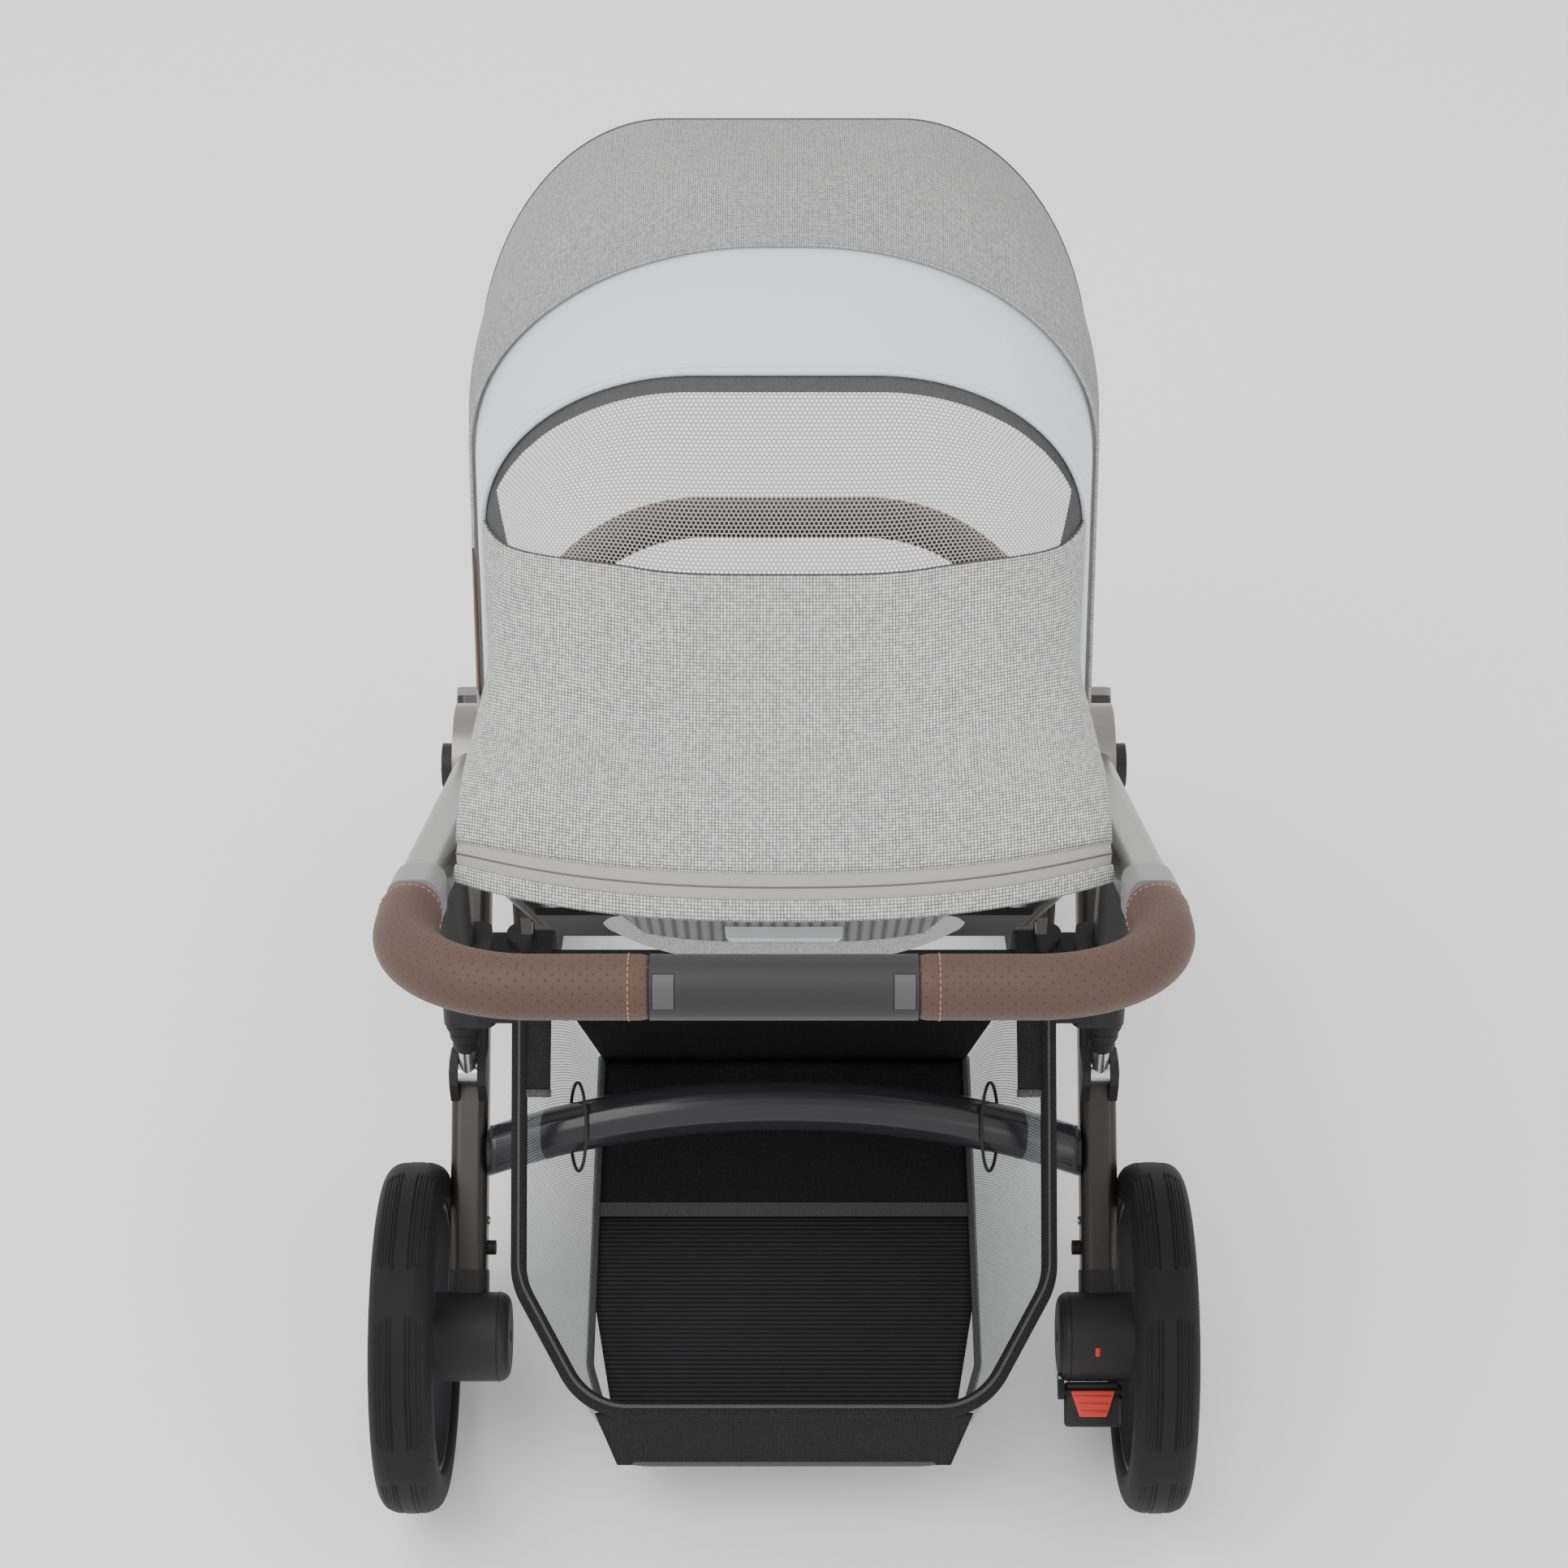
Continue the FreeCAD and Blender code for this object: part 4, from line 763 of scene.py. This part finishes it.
REAR_LIFT = -5.0
front = patch("hood_front", FRONT_T, SEAM_T + 0.6, 24, 220, "weave_hood", 0.0)
solidify(front, 0.0022)
front_piping = tube("hood_front_piping", edge_line(FRONT_T + 0.2, 0.4), 0.0024, "binding", 10)
hem_fold = patch("hood_front_hem", FRONT_T + 0.2, FRONT_T + 3.0, 4, 200, "weave_hood", 0.9)
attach(front, "canopy_front")
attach(front_piping, "canopy_front")
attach(hem_fold, "canopy_front")
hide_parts("canopy_front")
sewn(front, 24, 220, [front_piping, hem_fold])


# centre and width over the arch, lean, and depth in mm
PULLS = ((-0.16, 0.030, 0.10, 1.6), (-0.10, 0.022, -0.06, 1.0), (0.20, 0.024, -0.10, 1.5),
         (0.26, 0.018, 0.06, 0.8), (-0.38, 0.05, 0.0, 0.7), (0.42, 0.05, 0.0, 0.7))


def satin_ripple(i, u):
    """Soft pull marks and a rolled lower edge on the flap."""
    pulls = 0.0
    for centre, width, lean, depth in PULLS:
        d = (u - centre - lean * (i - 0.4)) / width
        pulls += depth * math.exp(-d * d) * math.sin(math.pi * min(1, i * 1.15)) ** 1.4
    return pulls * 0.9


flap = patch("satin_flap", SEAM_T - 1.0, FLAP_T, 48, 240, "satin",
             lambda i, u: REAR_LIFT + 1.0 + 2.4 * i ** 2, ripple=satin_ripple)
solidify(flap, 0.0016)
roll = tube("satin_flap_edge", edge_line(FLAP_T, REAR_LIFT + 2.2), 0.0028, "satin", 12)
net = patch("window_net", FLAP_T - 0.6, window_low, 24, 200, "net", REAR_LIFT - 1.0, -WINDOW_U, WINDOW_U)


def band(name, theta, width, lift, material, u0=-1.0, u1=1.0, cols=220, rows=5):
    """A strip of tape centred on an edge; width in degrees as a function of u or a number."""
    def lo(u):
        w = width(u) if callable(width) else width
        return (theta(u) if callable(theta) else theta) - w / 2

    def hi(u):
        w = width(u) if callable(width) else width
        return (theta(u) if callable(theta) else theta) + w / 2
    return patch(name, lo, hi, rows, cols, material, lambda i, u: lift + 0.5 * math.sin(math.pi * i), u0, u1)


bind_low = band("window_piping_low", window_low, 0.35, REAR_LIFT + 0.2, "binding", -WINDOW_U, WINDOW_U)
bind_top = patch("window_binding_top", FLAP_T - 0.5, lambda u: FLAP_T + 1.15, 4, 160, "binding",
                 REAR_LIFT - 0.5, -0.45, 0.45)
bind_sides = [patch("window_binding_side", lambda u: FLAP_T - 0.5,
                    lambda u: max(window_low(u) + 0.3, FLAP_T + 0.2), 30, 12, "binding",
                    REAR_LIFT - 0.4, u0, u1) for u0, u1 in ((-0.505, -0.432), (0.432, 0.505))]
rear = patch("rear_panel", lambda u: window_low(u) if abs(u) < WINDOW_U else 69.5, TAPE_T, 40, 260, "weave",
             REAR_LIFT)
solidify(rear, 0.0018)
tape = patch("zip_tape", TAPE_T, HEM_BAND_T, 8, 220, "tape",
             lambda i, u: REAR_LIFT + 0.6 + 0.5 * math.sin(math.pi * i))
zip_line = tube("zip_line", edge_line((TAPE_T + HEM_BAND_T) / 2, REAR_LIFT + 1.2), 0.0006, "zip", 6)
hem = patch("rear_hem", HEM_BAND_T, HEM_T, 6, 220, "weave",
            lambda i, u: REAR_LIFT + 0.8 * math.sin(math.pi * i))
solidify(hem, 0.0018)
hood_rear_slots = [(flap, "grey_weave"), (roll, "grey_weave"), (net, "black_fabric"),
                   (bind_low, "black_fabric"), (bind_top, "black_fabric"),
                   (bind_sides[0], "black_fabric"), (bind_sides[1], "black_fabric"),
                   (rear, "grey_weave"), (tape, "grey_weave"), (zip_line, "black_fabric"),
                   (hem, "grey_weave")]
for piece, sl in hood_rear_slots:
    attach(piece, "seat_back")
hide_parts("canopy_rear")
sewn(flap, 48, 240, [roll])
sewn(net, 24, 200, [bind_low, bind_top] + bind_sides)
sewn(rear, 40, 260, [tape, zip_line, hem])

# ---- seat cushions -----------------------------------------------------------------------------------
SEAT_PIVOT = (80.0, 605.0)
BACK_ANGLE = 123.3


def cushion(name, size, place, material):
    """A sewn cushion, puffed up by a short cloth simulation inside its box."""
    bm = bmesh.new()
    bmesh.ops.create_cube(bm, size=1.0)
    bmesh.ops.scale(bm, vec=(size[0], size[1], size[2] * 0.45), verts=bm.verts)
    bmesh.ops.bevel(bm, geom=[e for e in bm.edges if abs((e.verts[0].co - e.verts[1].co).z) > size[2] * 0.2],
                    offset=0.03, segments=5, profile=0.5, affect="EDGES")
    mesh = bpy.data.meshes.new(name)
    bm.to_mesh(mesh)
    bm.free()
    obj = bpy.data.objects.new(name, mesh)
    bpy.context.scene.collection.objects.link(obj)
    bpy.context.view_layer.objects.active = obj
    mod = obj.modifiers.new("remesh", "REMESH")
    mod.mode, mod.voxel_size = "VOXEL", 0.006
    bpy.ops.object.modifier_apply(modifier="remesh")
    rest = [v.co.copy() for v in obj.data.vertices]
    cloth = obj.modifiers.new("cloth", "CLOTH")
    cloth.settings.quality = 4
    cloth.settings.use_pressure = True
    cloth.settings.uniform_pressure_force = 4.0
    cloth.settings.effector_weights.gravity = 0.0
    cloth.settings.tension_stiffness = 25
    cloth.settings.compression_stiffness = 12
    cloth.point_cache.frame_start, cloth.point_cache.frame_end = 1, 18
    scene = bpy.context.scene
    for f in range(1, 19):
        scene.frame_set(f)
    bpy.ops.object.modifier_apply(modifier="cloth")
    scene.frame_set(1)
    half = Vector(size) / 2
    for v, r in zip(obj.data.vertices, rest):
        step = v.co - r
        if step.length > 0.012:
            step *= 0.012 / step.length
        v.co = r + step
        for k in range(3):
            v.co[k] = max(-half[k], min(half[k], v.co[k]))
    sub = obj.modifiers.new("sub", "SUBSURF")
    sub.levels = sub.render_levels = 1
    bpy.ops.object.modifier_apply(modifier="sub")
    layer = obj.data.uv_layers.new(name="UVMap")
    for loop in obj.data.loops:
        co = obj.data.vertices[loop.vertex_index].co
        layer.data[loop.index].uv = (co.x, co.y)
    for poly in obj.data.polygons:
        poly.use_smooth = True
    obj.data.materials.append(MAT[material])
    obj.data.transform(place)
    return obj


seat = cushion("seat_cushion", (0.318, 0.204, 0.027), side_place(0, (217.5, 613.0), 0), "black_weave")
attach(seat, "chassis")
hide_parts("seat_pad")
back_centre = along(SEAT_PIVOT, BACK_ANGLE, 192)
back = cushion("back_cushion", (0.322, 0.304, 0.026), side_place(0, back_centre, BACK_ANGLE), "black_weave")
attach(back, "seat_back")
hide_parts("back_pad")
rest_centre = along((338.0, 613.0), -38, 92)
leg = cushion("leg_rest_cushion", (0.256, 0.148, 0.018), side_place(0, rest_centre, -38), "black_weave")
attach(leg, "leg_rest")
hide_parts("leg_rest")


def back_bulge(x, reach, extra=0.0):
    """Rear face of the seat back in its own axes, in metres: it swells towards the lower edge."""
    swell = smooth_table([(90, 0.0), (130, 0.8), (205, 1.0), (240, 0.58), (275, 0.35), (330, 0.0)], reach)
    fade = max(0.0, 1 - (abs(x) / 124) ** 3)
    return Vector((x, reach, 16 + 26 * swell * fade + extra)) / 1000


back_place = side_place(0, SEAT_PIVOT, BACK_ANGLE)
shell = grid("back_shell", 60, 80, lambda i, j: back_place @ back_bulge(lerp(-124, 124, j), lerp(330, 90, i)),
             "weave_hood")
ribs = grid("back_ribs", 30, 90, lambda i, j: back_place @ back_bulge(lerp(-1, 1, j) * lerp(104, 92, i ** 2),
                                                                  lerp(330, 238, i), 0.9), "dark_rib")
rib_edge = [back_place @ back_bulge(lerp(-92, 92, k / 40), 238, 1.0) for k in range(41)]
seam_line = tube("back_rib_edge", rib_edge, 0.0009, "weave_hood", 8)
for piece in (shell, ribs, seam_line):
    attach(piece, "seat_back")
sewn(shell, 60, 80, [ribs, seam_line])
paint("back_panel", "black")

# ---- basket ------------------------------------------------------------------------------------------
RIM = [(-211, 222, 379), (-211, 2, 222), (-156, -80, 164), (156, -80, 164), (211, 2, 222), (211, 222, 379)]
rim_line = resample(rounded_line([at(*p) for p in RIM], 0.055, 14), 0.004)
rim_tube = tube("basket_rim_sleeve", rim_line, 0.0064, "black_weave", 20)
rim_cord = tube("basket_rim_piping", [p + Vector((0, 0, 0.0062)) for p in rim_line], 0.0016, "binding", 8)
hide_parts("basket_rim")
FLOOR = [(-160, 310, 87), (-160, 2, 87), (-135, -86, 87), (135, -86, 87), (160, 2, 87), (160, 310, 87)]


def side_panel(name, sign, material):
    """Net side wall from the rim down to the floor's edge."""
    def point(i, j):
        y = lerp(222, -70, j)
        top = at(sign * 211, max(y, 2), 379 + (max(y, 2) - 222) * (157 / 220))
        if y < 2:
            t = (2 - y) / 82
            top = at(sign * (211 - 55 * t), y, 222 - 58 * t)
        low_x = 160 if y > 2 else 160 - 25 * (2 - y) / 88
        low_y = y if y < 2 else lerp(2, 310, (y - 2) / 220)
        low = at(sign * low_x, low_y, 87)
        return top.lerp(low, i)
    return grid(name, 20, 60, point, material)


walls = []
for side, sign in (("left", -1), ("right", 1)):
    wall = side_panel("basket_side_" + side, sign, "basket_net")
    walls.append(wall)
rear_wall = grid("basket_skirt", 12, 40, lambda i, j: at(lerp(-150, 150, j), -80, 160).lerp(
    at(lerp(-135, 135, j), -86, 87), i), "black_weave")
floor_rear = grid("basket_floor_rear", 24, 40,
                  lambda i, j: at(lerp(-1, 1, j) * lerp(133, 158, min(1.0, i * 1.6)),
                                                         lerp(-84, 150, i), 88), "black_rib")
floor_front = grid("basket_floor_front", 24, 40, lambda i, j: at(lerp(-158, 158, j), lerp(150, 308, i), 88.2),
                   "black_weave")
front_wall = grid("basket_front", 16, 40, lambda i, j: at(lerp(-205, 205, j), 220, 372).lerp(
    at(lerp(-158, 158, j), 309, 88), i), "black_weave")
for w in (rear_wall, floor_rear, floor_front, front_wall):
    solidify(w, 0.0016)
cross_band = grid("basket_cross_band", 3, 30,
                  lambda i, j: at(lerp(-158, 158, j), lerp(146, 160, i), 89.6), "binding")
floor_edge = rounded_line([at(*p) + Vector((0, 0, 0.002)) for p in FLOOR], 0.03)
floor_bind = tube("basket_floor_binding", resample(floor_edge, 0.006),
                  0.0034, "binding", 10)
basket_parts = [rim_tube, rim_cord, rear_wall, floor_rear, floor_front, front_wall, cross_band, floor_bind]
basket_parts += walls
for p in basket_parts:
    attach(p, "struts")
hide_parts("basket")
for wall in walls:
    sewn(wall, 20, 60)
for w, rows in ((rear_wall, 12), (floor_rear, 24), (floor_front, 24), (front_wall, 16)):
    sewn(w, rows, 40)

for side, sign in (("left", -1), ("right", 1)):
    low, high = (122.0, 307.0), (256.0, 403.0)
    sleeve_line = [at(sign * lerp(198, 196, k / 12), lerp(low[0], high[0], k / 12),
                      lerp(low[1], high[1], k / 12)) for k in range(13)]
    sleeve = tube("basket_sleeve_" + side, sleeve_line, 0.011, "black_weave", 28,
                  squash=(0.0115, 0.0035, Vector((0, -0.58, 0.81))))
    mouth_line = [sleeve_line[0], sleeve_line[0].lerp(sleeve_line[1], 0.45)]
    mouth = tube("basket_sleeve_hem_" + side, mouth_line, 0.012,
                 "binding", 28, squash=(0.0122, 0.0043, Vector((0, -0.58, 0.81))))
    for piece in (sleeve, mouth):
        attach(piece, "struts")
    x = 168.0
    rise = math.hypot(45 * 0.35, 45)
    radius = (242.5 ** 2 + rise * rise) / (2 * rise)
    reach = rise - (radius - math.sqrt(radius ** 2 - x * x))
    centre = along((131.0, 214.0), angle_of((131.0, 214.0), (146.75, 259.0)), reach)
    up, away = Vector((0, 0.777, 0.629)), Vector((0, 0.629, -0.777))
    ring = [at(sign * x, *centre) + up * (0.036 * math.sin(t)) + away * (0.0245 * math.cos(t))
            + Vector((sign * 0.008 * math.cos(t), 0, 0)) for t in [2 * math.pi * k / 48 for k in range(48)]]
    loop = tube("elastic_loop_" + side, ring, 0.0014, "webbing", 10, closed=True)
    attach(loop, "rear_frame")

# ---- small trim --------------------------------------------------------------------------------------
tab = patch("leather_tab", 60.5, 64.0, 6, 10, "leather", 0.8, -0.80, -0.62)
solidify(tab, 0.0016)
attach(tab, "seat_back")
for side, sign in (("left", -1), ("right", 1)):
    ring = [at(sign * 231.0, 36.15 * math.cos(t), 141 + 36.15 * math.sin(t)) for t in
            [2 * math.pi * k / 64 for k in range(64)]]
    seam = tube("housing_seam_" + side, ring, 0.0004, "black", 6, closed=True)
    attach(seam, "rear_frame")
    rivet = tube("leg_rivet_" + side, [at(sign * 242.4, *along((0.0, 129.0), 31.34, 100)),
                                       at(sign * 240.6, *along((0.0, 129.0), 31.34, 100))],
                       0.0034, "steel", 18)
    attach(rivet, "rear_frame")

# ---- floor, light, camera ----------------------------------------------------------------------------
bpy.ops.mesh.primitive_plane_add(size=14, location=(0, 0, 0))
ground = bpy.context.object
ground.name = "studio_floor"
ground.data.materials.append(Shade("studio_white", (0.93, 0.93, 0.93), 0.9).m)

world = bpy.data.worlds.new("studio")
bpy.context.scene.world = world
world.use_nodes = True
world.node_tree.nodes["Background"].inputs[0].default_value = (1, 1, 1, 1)
world.node_tree.nodes["Background"].inputs[1].default_value = 1.3


def area(name, place, aim, size, power):
    light = bpy.data.lights.new(name, "AREA")
    light.shape = "SQUARE"
    light.size = size
    light.energy = power
    obj = bpy.data.objects.new(name, light)
    obj.location = place
    obj.rotation_euler = (Vector(aim) - Vector(place)).to_track_quat("-Z", "Y").to_euler()
    bpy.context.scene.collection.objects.link(obj)
    return obj


area("key", (-1.2, -0.6, 3.6), (0, 0, 0.5), 2.4, 75)
area("fill", (2.2, -2.4, 2.2), (0, 0, 0.5), 2.0, 22)

cam = bpy.data.cameras.new("camera")
cam.lens = 79.94
cam.sensor_width = 36.0
eye = bpy.data.objects.new("camera", cam)
eye.location = (0, -1.6008, 2.6229)
eye.rotation_euler = (math.radians(39), 0, 0)
bpy.context.scene.collection.objects.link(eye)
bpy.context.scene.camera = eye
